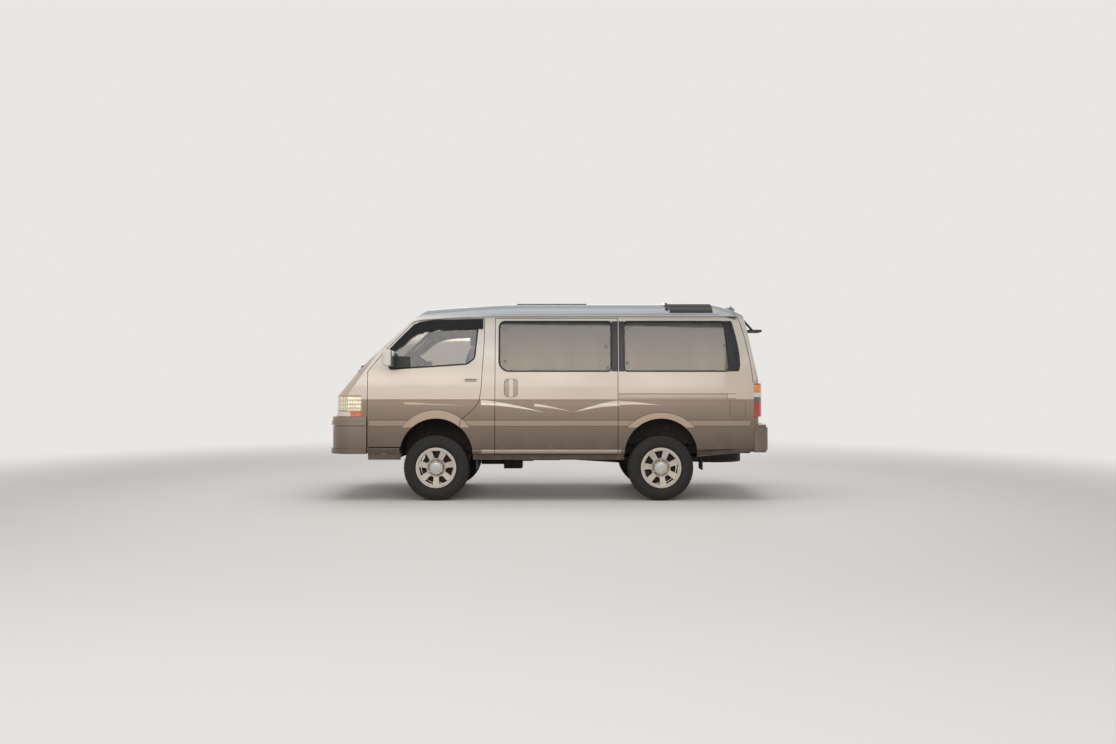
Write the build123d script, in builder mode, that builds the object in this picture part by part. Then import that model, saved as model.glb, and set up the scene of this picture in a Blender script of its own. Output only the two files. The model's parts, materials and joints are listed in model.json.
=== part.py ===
"""Camper van: a cab-over van body on a ladder frame, as separate pieces in one frame.

Millimetres. +X is forward, +Y is the van's left, +Z is up. The origin is on the ground
under the middle of the van. Side outlines are (x, z) points on the left side's plane.
"""

import copy
import math
import os

from build123d import *

os.makedirs("parts", exist_ok=True)

# Overall sizes
BUMPER_X = 2345.0
BUMPER_HALF_WIDTH = 845.0
WHEELBASE = 2330.0
TRACK = 1440.0
SIDE_Y = 832.0
WALL = 42.0
SEAM = 6.0
FIT = 0.3

# Body outline on the middle plane
BUMPER_TOP_Z = 867.0
NOSE_FOOT_X = 2275.0
NOSE_KNEE = (2262.0, 1085.0)
SCREEN_FOOT = (2060.0, 1330.0)
COWL_Z = 1330.0
HEADER = (1447.0, 1908.0)
TAIL_X = -2250.0
TAIL_KNEE_Z = 1250.0
TAIL_TOP = (-2120.0, 1830.0)
BROW_TOP = (1330.0, 1985.0)
ROOF_PATH = [
    (1800, 1973),
    (1100, 2038),
    (450, 2080),
    (-1770, 2082),
    (-2000, 2017),
    (-2260, 1888),
]
ROOF_BENDS = [6000, 6000, 420, 400]
ROOF_SPLIT_Z = 1915.0

# Cross-section: half width at each height
SILL_Z = 419.0
TUCK = (776.0, 474.0)
LOWER_EDGE_Z = 536.0
BELT_Z = 1045.0
WAIST_Z = 1338.0
WINDOW_TOP_Z = 1865.0
GUTTER_Y = 733.0

# Plan shape of the front and the rear
FRONT_BOW = 45.0
REAR_BOW = 50.0
BOW_HALF = 690.0
NOSE_CORNER_R = 210.0
SCREEN_CORNER_R = 100.0
TAIL_CORNER_R = 100.0

# Roof crown across the van
CROWN_HALF = 480.0
CROWN_SAG = 18.0
SHOULDER_R = 400.0
SHOULDER_REACH = 830.0

# Wheels
AXLE_X = WHEELBASE / 2
WHEEL_Y = TRACK / 2
WHEEL_R = 340.0
TYRE_HALF = 106.0
TREAD_HALF = 88.0
RIM_R = 209.0
RIM_HALF = 97.0
RIM_WALL = 7.0
SPOKE_COUNT = 7
HUB_BACK = 14.0
KINGPIN_Y = 650.0
ARCH_Z = 472.0
ARCH_R = 380.0

# Doors and windows
DOOR_FRONT_X = 1880.0
DOOR_REAR_X = AXLE_X - 498.0
DOOR_FOOT_Z = 551.0
DOOR_INNER_Y = 698.0
SLIDE_FRONT_X = DOOR_REAR_X - 108.0
SLIDE_REAR_X = ARCH_R + 62.0 - AXLE_X
SLIDE_FOOT_Z = 474.0
DOOR_TOP_Z = 1900.0
GLASS_INSET = 9.0
GLASS_THICKNESS = 6.0

# Hinge lines: (x, y) of the doors, (x, z) of the tailgate
DOOR_HINGE = (1868.0, 829.0)
TAIL_HINGE = (-1957.0, 2034.0)
TAIL_HINGE_Y = 450.0
HINGE_PIN_R = 6.0
HINGE_EAR_HALF = 20.0
HINGE_LEAF = 12.0

# Floor heights
FLOOR_Z = 600.0
FLOOR_THICKNESS = 25.0
SEAT_BASE_Z = 890.0
SEAT_BASE_FRONT_X = AXLE_X + 425.0
SEAT_BASE_REAR_X = DOOR_REAR_X + 48.0
FLOOR_FRONT_X = 2110.0
FLOOR_REAR_X = -2170.0
BULKHEAD_TOP_Z = 900.0
WELL_HALF_LENGTH = 420.0
WELL_TOP_Z = 905.0
WELL_Y = 520.0

# Frame
RAIL_Y = 430.0
RAIL_WIDTH = 60.0
RAIL_TOP_Z = FLOOR_Z - FLOOR_THICKNESS - FIT
RAIL_HEIGHT = 110.0
ENGINE_REAR_X = SEAT_BASE_REAR_X + 45.0
ENGINE_FOOT_Z = 480.0
JACK_PAD_X = -500.0
JACK_PAD = (80.0, 50.0, 8.0)

SHADE_LAP = 20.0
SHADE_THICKNESS = 6.0

# Forms on the body sides
MOULDING_Z = (774.0, 831.0)
MOULDING_RISE = 9.0
MOULDING_REAR_X = -2085.0
MOULDING_FRONT_X = DOOR_FRONT_X - 20.0
GROOVE_DEPTH = 5.0
GROOVE_HALF = 3.0
FLARE_FOOT_Z = 758.0
FLARE_HALF = 352.0
FLARE_RISE = 13.0
FLARES = [
    # axle x, highest z
    (AXLE_X, 939.0),
    (-AXLE_X, 914.0),
]
SILL_LIP = [(786, 478), (826, 480), (838, 492), (840, 514), (828, 530), (800, 534)]
GUTTER_RISE = 9.0
GUTTER_HEIGHT = 12.0
GUTTER_FRONT_X = 700.0
GUTTER_REAR_X = -1985.0

# Handles, rail and flap
HANDLE_POCKET_DEPTH = 18.0
HANDLE_RISE = 7.0
DOOR_HANDLE = (DOOR_REAR_X + 57.0, DOOR_REAR_X + 222.0, 1229.0, 1296.0)
SLIDE_HANDLE = (SLIDE_FRONT_X - 238.0, SLIDE_FRONT_X - 99.0, 1074.0, 1260.0)
RAIL_SLOT_Z = (1056.0, 1108.0)
RAIL_SLOT_REAR_X = -1939.0
RAIL_SLOT_DEPTH = 22.0
RAIL_CAP_LENGTH = 83.0
FUEL_FLAP = (-2042.0, -1877.0, 867.0, 1032.0)
FLAP_SEAM = 4.0

# Lamps, grille and bumper
INDICATOR_TOP_Z = 922.0
LAMP_PROUD = 30.0
LAMP_SIDE_PROUD = 5.0
LAMP_STEPS = [
    # lowest z, highest z
    (870, 1020),
    (1025, 1116),
    (1121, 1213),
]
GRILLE_SLOT_HEIGHT = 26.0
GRILLE_BAR = 12.0
GRILLE_SLOTS = 4
BUMPER_STEPS = [
    # lowest z, highest z, set back from the foremost face
    (484.0, 536.0, 0.0),
    (536.0, 768.0, 16.0),
    (768.0, 780.0, 28.0),
    (780.0, 822.0, 4.0),
    (822.0, BUMPER_TOP_Z - FIT, 14.0),
]
PLATE_PAD = (2331.0, 340.0, 120.0)
INTAKE = (560.0, 708.0, 750.0, 24.0)
REAR_BUMPER_STEPS = [
    # lowest z, highest z, set back from the rearmost face
    (500.0, 524.0, 12.0),
    (524.0, 756.0, 0.0),
    (756.0, 784.0, 16.0),
]
PLATE_HOOD = (330.0, 1092.0, 1132.0, 22.0)

# Number plate screws
PLATE_SPACING = 210.0
PLATE_HOLE_R = 3.0
PLATE_Z = 640.0
REAR_PLATE_Z = 980.0

REACH = 3000.0


def write(builder, name):
    """Label a finished piece and write it as parts/<name>.step."""
    builder.part.label = name
    export_step(builder.part, f"parts/{name}.step")


def side_prism(points, radii=None, grow=0.0, low_y=0.0, high_y=1200.0):
    """A solid standing on a side outline, grown by a margin, between two y values."""
    with BuildPart() as prism:
        with BuildSketch(Plane.XZ.offset(-high_y)):
            with BuildLine():
                if radii is None:
                    Polyline(*points, close=True)
                else:
                    FilletPolyline(*points, radius=radii, close=True)
            make_face()
            if grow:
                offset(amount=grow, kind=Kind.INTERSECTION)
        extrude(amount=high_y - low_y)
    return prism.part


def side_box(x0, x1, z0, z1, low_y=-1200.0, high_y=1200.0):
    """A plain box from its corners."""
    with BuildPart() as block:
        with Locations(((x0 + x1) / 2, (low_y + high_y) / 2, (z0 + z1) / 2)):
            Box(abs(x1 - x0), high_y - low_y, abs(z1 - z0))
    return block.part


def bar(start, end, radius):
    """Round bar between two points."""
    run = Vector(*end) - Vector(*start)
    with BuildPart() as solid:
        with BuildSketch(Plane(origin=start, z_dir=run)):
            Circle(radius)
        extrude(amount=run.length)
    return solid.part


def front_prism(points, x0, x1):
    """A solid standing on a front outline of (y, z) points."""
    with BuildPart() as prism:
        with BuildSketch(Plane.YZ.offset(x0)):
            with BuildLine():
                Polyline(*points, close=True)
            make_face()
        extrude(amount=x1 - x0)
    return prism.part


def bowed_face(x_middle, bow, corner_r, half_width, x_far):
    """Plan outline that is bowed at x_middle and square at x_far, on the current plane."""
    sign = 1.0 if x_middle > x_far else -1.0
    edge = x_middle - sign * bow * (half_width / BOW_HALF) ** 2
    with BuildSketch(Plane.XY) as plan:
        with BuildLine():
            ThreePointArc((edge, -half_width), (x_middle, 0), (edge, half_width))
            Polyline((edge, half_width), (x_far, half_width), (x_far, -half_width), (edge, -half_width))
        make_face()
        corners = plan.vertices().sort_by(Axis.X)
        fillet(corners[-2:] if sign > 0 else corners[:2], corner_r)
    return plan.sketch


def bowed_prism(low, high, bow, corner_r, inset, x_far, spare=8.0):
    """Bowed plan swept straight from one middle-plane point towards a higher one."""
    run = Vector(high[0] - low[0], 0, high[1] - low[1]).normalized()
    sign = 1.0 if low[0] > x_far else -1.0
    shift = inset / run.Z
    base_z = -200.0
    base_x = low[0] + run.X / run.Z * (base_z - low[1]) - sign * shift
    plan = bowed_face(base_x, bow, max(corner_r - inset, 20.0), SIDE_Y + spare - inset, x_far)
    with BuildPart() as prism:
        extrude(plan.moved(Location((0, 0, base_z))), amount=REACH / run.Z, dir=run)
    return prism.part


def screen_prism(inset):
    """What lies behind the windscreen's surface."""
    return bowed_prism(SCREEN_FOOT, HEADER, FRONT_BOW, SCREEN_CORNER_R, inset, -REACH, 10.0)


def tail_prism(inset):
    """What lies ahead of the tailgate's upper surface."""
    return bowed_prism((TAIL_X, TAIL_KNEE_Z), TAIL_TOP, REAR_BOW, TAIL_CORNER_R, inset, REACH, 9.0)


def cross_section(inset):
    """Half widths of the body at each height, closed across the top."""
    foot = SILL_Z if inset <= 0 else 100.0
    with BuildSketch(Plane.YZ) as section:
        with BuildLine():
            Polyline((0, foot), (TUCK[0] - 14, foot), TUCK, (SIDE_Y - 6, LOWER_EDGE_Z))
            ThreePointArc((SIDE_Y - 6, LOWER_EDGE_Z), (SIDE_Y, 800), (SIDE_Y - 3, BELT_Z))
            ThreePointArc((SIDE_Y - 3, BELT_Z), (798, 1480), (743, ROOF_SPLIT_Z))
            Polyline((743, ROOF_SPLIT_Z), (GUTTER_Y, 1930), (GUTTER_Y, 2300), (0, 2300))
            mirror(about=Plane.YZ)
        make_face()
        if inset:
            offset(amount=-inset)
    return section.sketch


def side_form(inset):
    """Cross-section along the whole length, with no front, rear or roof shape."""
    with BuildPart() as form:
        extrude(cross_section(inset).moved(Location((-REACH, 0, 0))), amount=2 * REACH, dir=(1, 0, 0))
    return form.part


def roof_cutter(inset):
    """What lies above the crowned roof, swept along the roof's side outline."""
    start_slope = 2 * math.atan2(CROWN_SAG, CROWN_HALF)
    end_slope = math.asin(math.sin(start_slope) + (SHOULDER_REACH - CROWN_HALF) / SHOULDER_R)
    mid_slope = (start_slope + end_slope) / 2

    def shoulder(slope):
        across = CROWN_HALF + SHOULDER_R * (math.sin(slope) - math.sin(start_slope))
        drop = CROWN_SAG + SHOULDER_R * (math.cos(start_slope) - math.cos(slope))
        return across, -drop - inset

    with BuildPart() as above:
        with BuildLine(Plane.XZ) as path:
            FilletPolyline(*ROOF_PATH, radius=ROOF_BENDS)
        run = path.wires()[0] % 0
        origin = path.wires()[0] @ 0
        cut_plane = Plane(origin=origin, x_dir=(0, 1, 0), z_dir=run)
        flip = 1.0 if cut_plane.y_dir.Z > 0 else -1.0
        with BuildSketch(cut_plane):
            with BuildLine():
                edge = (CROWN_HALF, -CROWN_SAG - inset)
                middle = shoulder(mid_slope)
                end = shoulder(end_slope)
                far = (end[0] + 200, end[1])
                top = (end[0] + 200, 500)

                def left(point):
                    return (point[0], flip * point[1])

                def right(point):
                    return (-point[0], flip * point[1])

                ThreePointArc(right(edge), (0, -flip * inset), left(edge))
                ThreePointArc(left(edge), left(middle), left(end))
                Polyline(left(end), left(far), left(top), right(top), right(far), right(end))
                ThreePointArc(right(end), right(middle), right(edge))
            make_face()
        sweep(path=path.wires()[0])
    return above.part


def hull(inset):
    """The body as one closed form, its skin moved inwards by inset."""
    with BuildPart() as body:
        add(side_form(inset))
        nose_foot = (NOSE_FOOT_X, BUMPER_TOP_Z)
        add(bowed_prism(nose_foot, NOSE_KNEE, FRONT_BOW, NOSE_CORNER_R, inset, -REACH), mode=Mode.INTERSECT)
        add(bowed_prism(NOSE_KNEE, SCREEN_FOOT, FRONT_BOW, NOSE_CORNER_R, inset, -REACH, 9.0), mode=Mode.INTERSECT)
        add(screen_prism(inset), mode=Mode.INTERSECT)
        add(bowed_prism(HEADER, BROW_TOP, FRONT_BOW, SCREEN_CORNER_R, inset, -REACH, 11.0), mode=Mode.INTERSECT)
        tail_knee = (TAIL_X, TAIL_KNEE_Z)
        tail_foot = (TAIL_X, SILL_Z)
        add(bowed_prism(tail_foot, tail_knee, REAR_BOW, TAIL_CORNER_R, inset, REACH), mode=Mode.INTERSECT)
        add(tail_prism(inset), mode=Mode.INTERSECT)
        add(roof_cutter(inset), mode=Mode.SUBTRACT)
    return body.part



outer = hull(0.0)
inner = hull(WALL)
lining = hull(WALL + FIT)
door_lining = hull(WALL + SEAM)

# Side outlines of the panels
FRONT_DOOR = [
    (DOOR_FRONT_X, DOOR_FOOT_Z),
    (DOOR_FRONT_X, 1340),
    (1712, 1545),
    (1432, 1838),
    (1395, 1858),
    (1310, 1876),
    (900, DOOR_TOP_Z),
    (DOOR_REAR_X, DOOR_TOP_Z),
    (DOOR_REAR_X, 1663),
    (DOOR_REAR_X + 31, 1146),
    (DOOR_REAR_X + 52, 1022),
    (DOOR_REAR_X + 103, 950),
    (AXLE_X - 260, 836),
    (AXLE_X - 225, 650),
    (AXLE_X + 335, DOOR_FOOT_Z),
]
SLIDING_DOOR = [
    (SLIDE_FRONT_X, SLIDE_FOOT_Z),
    (SLIDE_FRONT_X, DOOR_TOP_Z),
    (SLIDE_REAR_X, DOOR_TOP_Z),
    (SLIDE_REAR_X, SLIDE_FOOT_Z),
]
FRONT_WINDOW = [
    (1655, WAIST_Z + 20),
    (1655, 1560),
    (1390, 1832),
    (1335, 1850),
    (DOOR_REAR_X + 61, WINDOW_TOP_Z),
    (DOOR_REAR_X + 101, 1470),
    (DOOR_REAR_X + 183, 1412),
]
FRONT_WINDOW_R = [20, 60, 25, 60, 40, 60, 60]
MIDDLE_WINDOW = [
    (SLIDE_FRONT_X - 42, WAIST_Z),
    (SLIDE_FRONT_X - 42, WINDOW_TOP_Z),
    (SLIDE_REAR_X + 66, WINDOW_TOP_Z),
    (SLIDE_REAR_X + 66, WAIST_Z),
]
MIDDLE_WINDOW_R = [105, 62, 40, 40]
REAR_WINDOW = [
    (SLIDE_REAR_X - 58, WAIST_Z),
    (SLIDE_REAR_X - 58, WINDOW_TOP_Z),
    (-1835, WINDOW_TOP_Z),
    (-1890, WAIST_Z),
]
REAR_WINDOW_R = [40, 40, 50, 50]
TAIL_SEAM = [
    (-1930, 2200),
    (-1949, 1973),
    (-1990, 1870),
    (-2042, 1684),
    (-2083, 1487),
    (-2108, 1330),
    (-2116, 1225),
    (-2700, 1225),
    (-2700, 2200),
]
REAR_SKIRT = [(-1545, 450), (-2115, 505), (-2750, 505), (-2750, 300), (-1545, 300)]
REAR_LIP = [(-1500, 446), (MOULDING_REAR_X, 502), (MOULDING_REAR_X, 542), (-1500, 500)]
SIDE_INNER_Y = 600.0
LAMP_TOP_Z = 1213.0
LAMP_FOOT_Z = 870.0
LAMP_FRONT_X = -2128.0
LAMP_INNER_Y = 660.0
TAILGATE_FOOT_Z = 862.0
TAILGATE_HALF = 652.0
HEADLAMP_REAR_X = 1939.0
HEADLAMP_TOP_Z = 1089.0
HEADLAMP_FOOT_Z = 874.0
HEADLAMP_INNER_Y = 430.0
GRILLE_TOP_Z = 1075.0
GRILLE_FOOT_Z = 915.0
SCREEN_FOOT_HALF = 742.0
SCREEN_TOP_HALF = 668.0
REAR_GLASS = [(-600, 1335), (600, 1335), (560, 1800), (-560, 1800)]

SIDES = (("left", 1), ("right", -1))


def sheet(region, form, inset=GLASS_INSET, thickness=GLASS_THICKNESS):
    """Sheet of one thickness that fills a region, its face at an inset from a form."""
    with BuildPart() as solid:
        add(region)
        add(form(inset), mode=Mode.INTERSECT)
        add(form(inset + thickness), mode=Mode.SUBTRACT)
    return solid.part


def fresh(solid):
    """A copy that shares no faces with the solid, which stays as exact as it was."""
    return copy.deepcopy(solid)


def skin(region):
    """The body's wall inside a region."""
    with BuildPart() as wall:
        add(region)
        add(fresh(outer), mode=Mode.INTERSECT)
        add(fresh(inner), mode=Mode.SUBTRACT)
    return wall.part


def mirrored(part, side):
    """The part itself on the left, its mirror image on the right."""
    return part if side > 0 else part.mirror(Plane.XZ)


def arch_opening(axle_x, grow=0.0):
    """Round wheel opening with straight sides below its middle."""
    with BuildPart() as opening:
        with BuildSketch(Plane.XZ.offset(-1200)):
            with Locations((axle_x, ARCH_Z)):
                Circle(ARCH_R + grow)
            with Locations((axle_x, ARCH_Z - 150)):
                Rectangle(2 * (ARCH_R + grow), 300)
        extrude(amount=2400)
    return opening.part


def screen_opening(grow=0.0):
    """Windscreen opening: a trapezoid seen from the front, in the windscreen's own slab."""
    foot = SCREEN_FOOT_HALF + grow
    top = SCREEN_TOP_HALF + grow
    low_z = COWL_Z - grow
    high_z = ROOF_SPLIT_Z + grow
    outline = [(-foot, low_z), (foot, low_z), (top, high_z), (-top, high_z)]
    with BuildPart() as opening:
        add(front_prism(outline, 1200, 2500))
        add(screen_prism(-SEAM), mode=Mode.INTERSECT)
        add(screen_prism(WALL + SEAM), mode=Mode.SUBTRACT)
    return opening.part


def tailgate_region(grow=0.0):
    """What the tailgate takes of the shell."""
    with BuildPart() as region:
        add(side_prism(TAIL_SEAM, grow=grow, low_y=-1200))
        add(side_box(-2700, -2116 + grow, TAILGATE_FOOT_Z - grow, 1300, -TAILGATE_HALF - grow, TAILGATE_HALF + grow))
    return region.part


def lamp_region(side, grow=0.0):
    """Rear corner lamp's place in the shell."""
    low_y, high_y = sorted((side * (LAMP_INNER_Y - grow), side * 1200))
    return side_box(-2700, LAMP_FRONT_X + grow, LAMP_FOOT_Z - grow, LAMP_TOP_Z + grow, low_y, high_y)


def headlamp_region(side, grow=0.0):
    """Front corner lamp's place in the shell."""
    low_y, high_y = sorted((side * (HEADLAMP_INNER_Y - grow), side * 1200))
    return side_box(HEADLAMP_REAR_X - grow, 2700, HEADLAMP_FOOT_Z - grow, HEADLAMP_TOP_Z + grow, low_y, high_y)


def grille_region(grow=0.0):
    """Grille opening between the headlamps."""
    half = HEADLAMP_INNER_Y - 25 + grow
    return side_box(2000, 2700, GRILLE_FOOT_Z - grow, GRILLE_TOP_Z + grow, -half, half)


# Nose panel
with BuildPart() as nose_panel:
    add(side_box(DOOR_FRONT_X, 2700, BUMPER_TOP_Z, COWL_Z))
    for _, side in SIDES:
        add(headlamp_region(side, FIT), mode=Mode.SUBTRACT)
    add(grille_region(), mode=Mode.SUBTRACT)
    add(fresh(outer), mode=Mode.INTERSECT)
    add(fresh(inner), mode=Mode.SUBTRACT)
write(nose_panel, "nose_panel")

for name, low_z, high_z in (
    ("headlamps", INDICATOR_TOP_Z + FIT, 2000.0),
    ("front_indicators", 0.0, INDICATOR_TOP_Z),
):
    with BuildPart() as lamps:
        for _, side in SIDES:
            with BuildPart(mode=Mode.PRIVATE) as lamp:
                add(headlamp_region(side))
                add(side_box(0, 2700, low_z, high_z), mode=Mode.INTERSECT)
            add(skin(lamp.part))
    write(lamps, name)

# Grille: bars over a closed back
with BuildPart() as grille:
    add(skin(grille_region(-FIT)))
    slot_half = HEADLAMP_INNER_Y - 43
    slot_z = (GRILLE_FOOT_Z + GRILLE_TOP_Z - GRILLE_SLOTS * GRILLE_SLOT_HEIGHT - (GRILLE_SLOTS - 1) * GRILLE_BAR) / 2
    for row in range(GRILLE_SLOTS):
        low_z = slot_z + row * (GRILLE_SLOT_HEIGHT + GRILLE_BAR)
        slot = side_box(NOSE_FOOT_X - 40, 2700, low_z, low_z + GRILLE_SLOT_HEIGHT, -slot_half, slot_half)
        add(slot, mode=Mode.SUBTRACT)
write(grille, "grille")


def side_region(side):
    """Side outline of one body side with its openings cut, as a thick slab."""
    low_y, high_y = sorted((side * SIDE_INNER_Y, side * 1200))
    with BuildPart() as region:
        add(side_box(-2700, 2700, SILL_Z - 10, ROOF_SPLIT_Z, low_y, high_y))
        add(side_box(DOOR_FRONT_X, 2800, 0, COWL_Z), mode=Mode.SUBTRACT)
        add(side_box(AXLE_X, 2800, 0, DOOR_FOOT_Z), mode=Mode.SUBTRACT)
        for axle_x in (AXLE_X, -AXLE_X):
            add(arch_opening(axle_x), mode=Mode.SUBTRACT)
        add(mirrored(side_prism(FRONT_DOOR, low_y=DOOR_INNER_Y), side), mode=Mode.SUBTRACT)
        add(tailgate_region(), mode=Mode.SUBTRACT)
        add(side_box(-2750, -2116, 0, 1000, -TAILGATE_HALF, TAILGATE_HALF), mode=Mode.SUBTRACT)
        add(lamp_region(side, FIT), mode=Mode.SUBTRACT)
        add(side_prism(REAR_SKIRT, low_y=-1200), mode=Mode.SUBTRACT)
        if side > 0:
            add(side_prism(SLIDING_DOOR), mode=Mode.SUBTRACT)
        else:
            add(mirrored(side_prism(MIDDLE_WINDOW, MIDDLE_WINDOW_R), side), mode=Mode.SUBTRACT)
        add(mirrored(side_prism(REAR_WINDOW, REAR_WINDOW_R), side), mode=Mode.SUBTRACT)
        add(screen_opening(), mode=Mode.SUBTRACT)
    return region.part


def proud(region, rise):
    """What lies within the left side's surface moved outwards by a rise, inside a region."""
    with BuildPart() as form:
        add(region)
        add(side_form(-rise), mode=Mode.INTERSECT)
    return form.part


def pocket(region, depth):
    """Recess in the left side, as deep as stated."""
    with BuildPart() as room:
        add(region)
        add(side_form(-60), mode=Mode.INTERSECT)
        add(side_form(depth), mode=Mode.SUBTRACT)
    return room.part


def flare(axle_x, top_z):
    """Segment of a disc over a wheel opening on the left side."""
    drop = top_z - FLARE_FOOT_Z
    radius = (FLARE_HALF**2 + drop**2) / (2 * drop)
    with BuildPart() as segment:
        with BuildSketch(Plane.XZ.offset(-1200)):
            with Locations((axle_x, top_z - radius)):
                Circle(radius)
            with Locations((axle_x, FLARE_FOOT_Z - radius)):
                Rectangle(3 * radius, 2 * radius, mode=Mode.SUBTRACT)
        extrude(amount=1200 - SIDE_INNER_Y)
    return proud(segment.part, FLARE_RISE)


# Gutter over the front door, in line with the roof's own lip
DOOR_GUTTER = [
    (DOOR_REAR_X, ROOF_SPLIT_Z - 12),
    (900, ROOF_SPLIT_Z - 12),
    (1310, 1880),
    (1395, 1862),
    (1436, 1838),
    (1446, 1848),
    (1400, 1874),
    (1312, 1892),
    (900, ROOF_SPLIT_Z),
    (DOOR_REAR_X, ROOF_SPLIT_Z),
]
moulding = proud(side_box(MOULDING_REAR_X, MOULDING_FRONT_X, *MOULDING_Z, SIDE_INNER_Y, 1200), MOULDING_RISE)
sill_lip = front_prism(SILL_LIP, -AXLE_X, AXLE_X)
rear_lip = proud(side_prism(REAR_LIP, low_y=SIDE_INNER_Y), MOULDING_RISE)
door_gutter = proud(side_prism(DOOR_GUTTER, low_y=SIDE_INNER_Y), GUTTER_RISE)
groove_region = side_box(-2110, REACH, BELT_Z - GROOVE_HALF, BELT_Z + GROOVE_HALF, SIDE_INNER_Y, 1200)
belt_groove = pocket(groove_region, GROOVE_DEPTH)
SIDE_FORMS = [moulding, sill_lip, rear_lip, door_gutter, *(flare(axle_x, top_z) for axle_x, top_z in FLARES)]


def dressed(form):
    """A body form with the sides' raised bands, flares and lips added and the belt groove cut."""
    with BuildPart() as whole:
        add(form)
        for raised in SIDE_FORMS:
            add(fresh(raised))
            add(raised.mirror(Plane.XZ))
        add(fresh(belt_groove), mode=Mode.SUBTRACT)
        add(belt_groove.mirror(Plane.XZ), mode=Mode.SUBTRACT)
    return whole.part


def cut_from(region, outside, inside):
    """A panel: what a region takes of a form, less the form's inside."""
    with BuildPart() as panel:
        add(region)
        add(fresh(outside), mode=Mode.INTERSECT)
        add(fresh(inside), mode=Mode.SUBTRACT)
    return panel.part


dressed_outer = dressed(fresh(outer))
dressed_sides = dressed(side_form(0.0))
side_inner = side_form(WALL)

# Body sides: pillars, sills and rear quarters in one
for name, side in SIDES:
    with BuildPart() as side_panel:
        add(cut_from(side_region(side), dressed_outer, inner))
        if side > 0:
            slot_low, slot_high = RAIL_SLOT_Z
            rear_x, front_x, low_z, high_z = FUEL_FLAP
            slot = side_box(RAIL_SLOT_REAR_X, SLIDE_REAR_X + 10, slot_low, slot_high, SIDE_INNER_Y, 1200)
            add(pocket(slot, RAIL_SLOT_DEPTH), mode=Mode.SUBTRACT)
            with BuildPart(mode=Mode.PRIVATE) as flap_seam:
                add(side_box(rear_x, front_x, low_z, high_z, SIDE_INNER_Y, 1200))
                add(
                    side_box(rear_x + FLAP_SEAM, front_x - FLAP_SEAM, low_z + FLAP_SEAM, high_z - FLAP_SEAM),
                    mode=Mode.SUBTRACT,
                )
            add(pocket(flap_seam.part, 2 * FLAP_SEAM), mode=Mode.SUBTRACT)
            cap_end = RAIL_SLOT_REAR_X + RAIL_CAP_LENGTH
            rail_parts = [
                # rear x, front x, lowest z, highest z, rise
                (RAIL_SLOT_REAR_X - 4, SLIDE_REAR_X - 4, slot_low + 20, slot_high - 20, -10),
                (RAIL_SLOT_REAR_X - 6, cap_end, slot_low + 3, slot_high - 3, 4),
            ]
            for rear_x, front_x, low_z, high_z, rise in rail_parts:
                region = side_box(rear_x, front_x, low_z, high_z, SIDE_INNER_Y, 1200)
                add(sheet(region, side_form, -rise, rise + RAIL_SLOT_DEPTH + 6))
    write(side_panel, f"side_panel_{name}")

gutter_top = ROOF_SPLIT_Z + GUTTER_HEIGHT
roof_gutter = proud(side_box(GUTTER_REAR_X, GUTTER_FRONT_X, 1800, gutter_top, SIDE_INNER_Y, 1200), GUTTER_RISE)
with BuildPart() as guttered_outer:
    add(fresh(outer))
    add(roof_gutter)
    add(roof_gutter.mirror(Plane.XZ))

with BuildPart() as roof_panel:
    roof_region = side_box(-2700, 2700, ROOF_SPLIT_Z, 2400)
    with BuildPart(mode=Mode.PRIVATE) as roof_room:
        add(roof_region)
        add(tailgate_region(), mode=Mode.SUBTRACT)
    add(cut_from(roof_room.part, guttered_outer.part, inner))
    for hinge_y in (-TAIL_HINGE_Y, TAIL_HINGE_Y):
        ear_low = hinge_y - HINGE_EAR_HALF
        ear_high = hinge_y + HINGE_EAR_HALF
        hinge_x, hinge_z = TAIL_HINGE
        add(bar((hinge_x, ear_low, hinge_z), (hinge_x, ear_high, hinge_z), 14))
        add(side_box(hinge_x, hinge_x + 60, hinge_z - 45, hinge_z - 2, ear_low, ear_high))
        add(tailgate_region(), mode=Mode.SUBTRACT)
        add(bar((hinge_x, ear_low, hinge_z), (hinge_x, ear_high, hinge_z), 14))
        add(bar((hinge_x, ear_low, hinge_z), (hinge_x, ear_high, hinge_z), HINGE_PIN_R + FIT), mode=Mode.SUBTRACT)
write(roof_panel, "roof_panel")

with BuildPart() as rear_valance:
    half = TAILGATE_HALF - FIT
    add(skin(side_box(-2700, -2116, 500, TAILGATE_FOOT_Z - SEAM, -half, half)))
write(rear_valance, "rear_valance")

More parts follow.
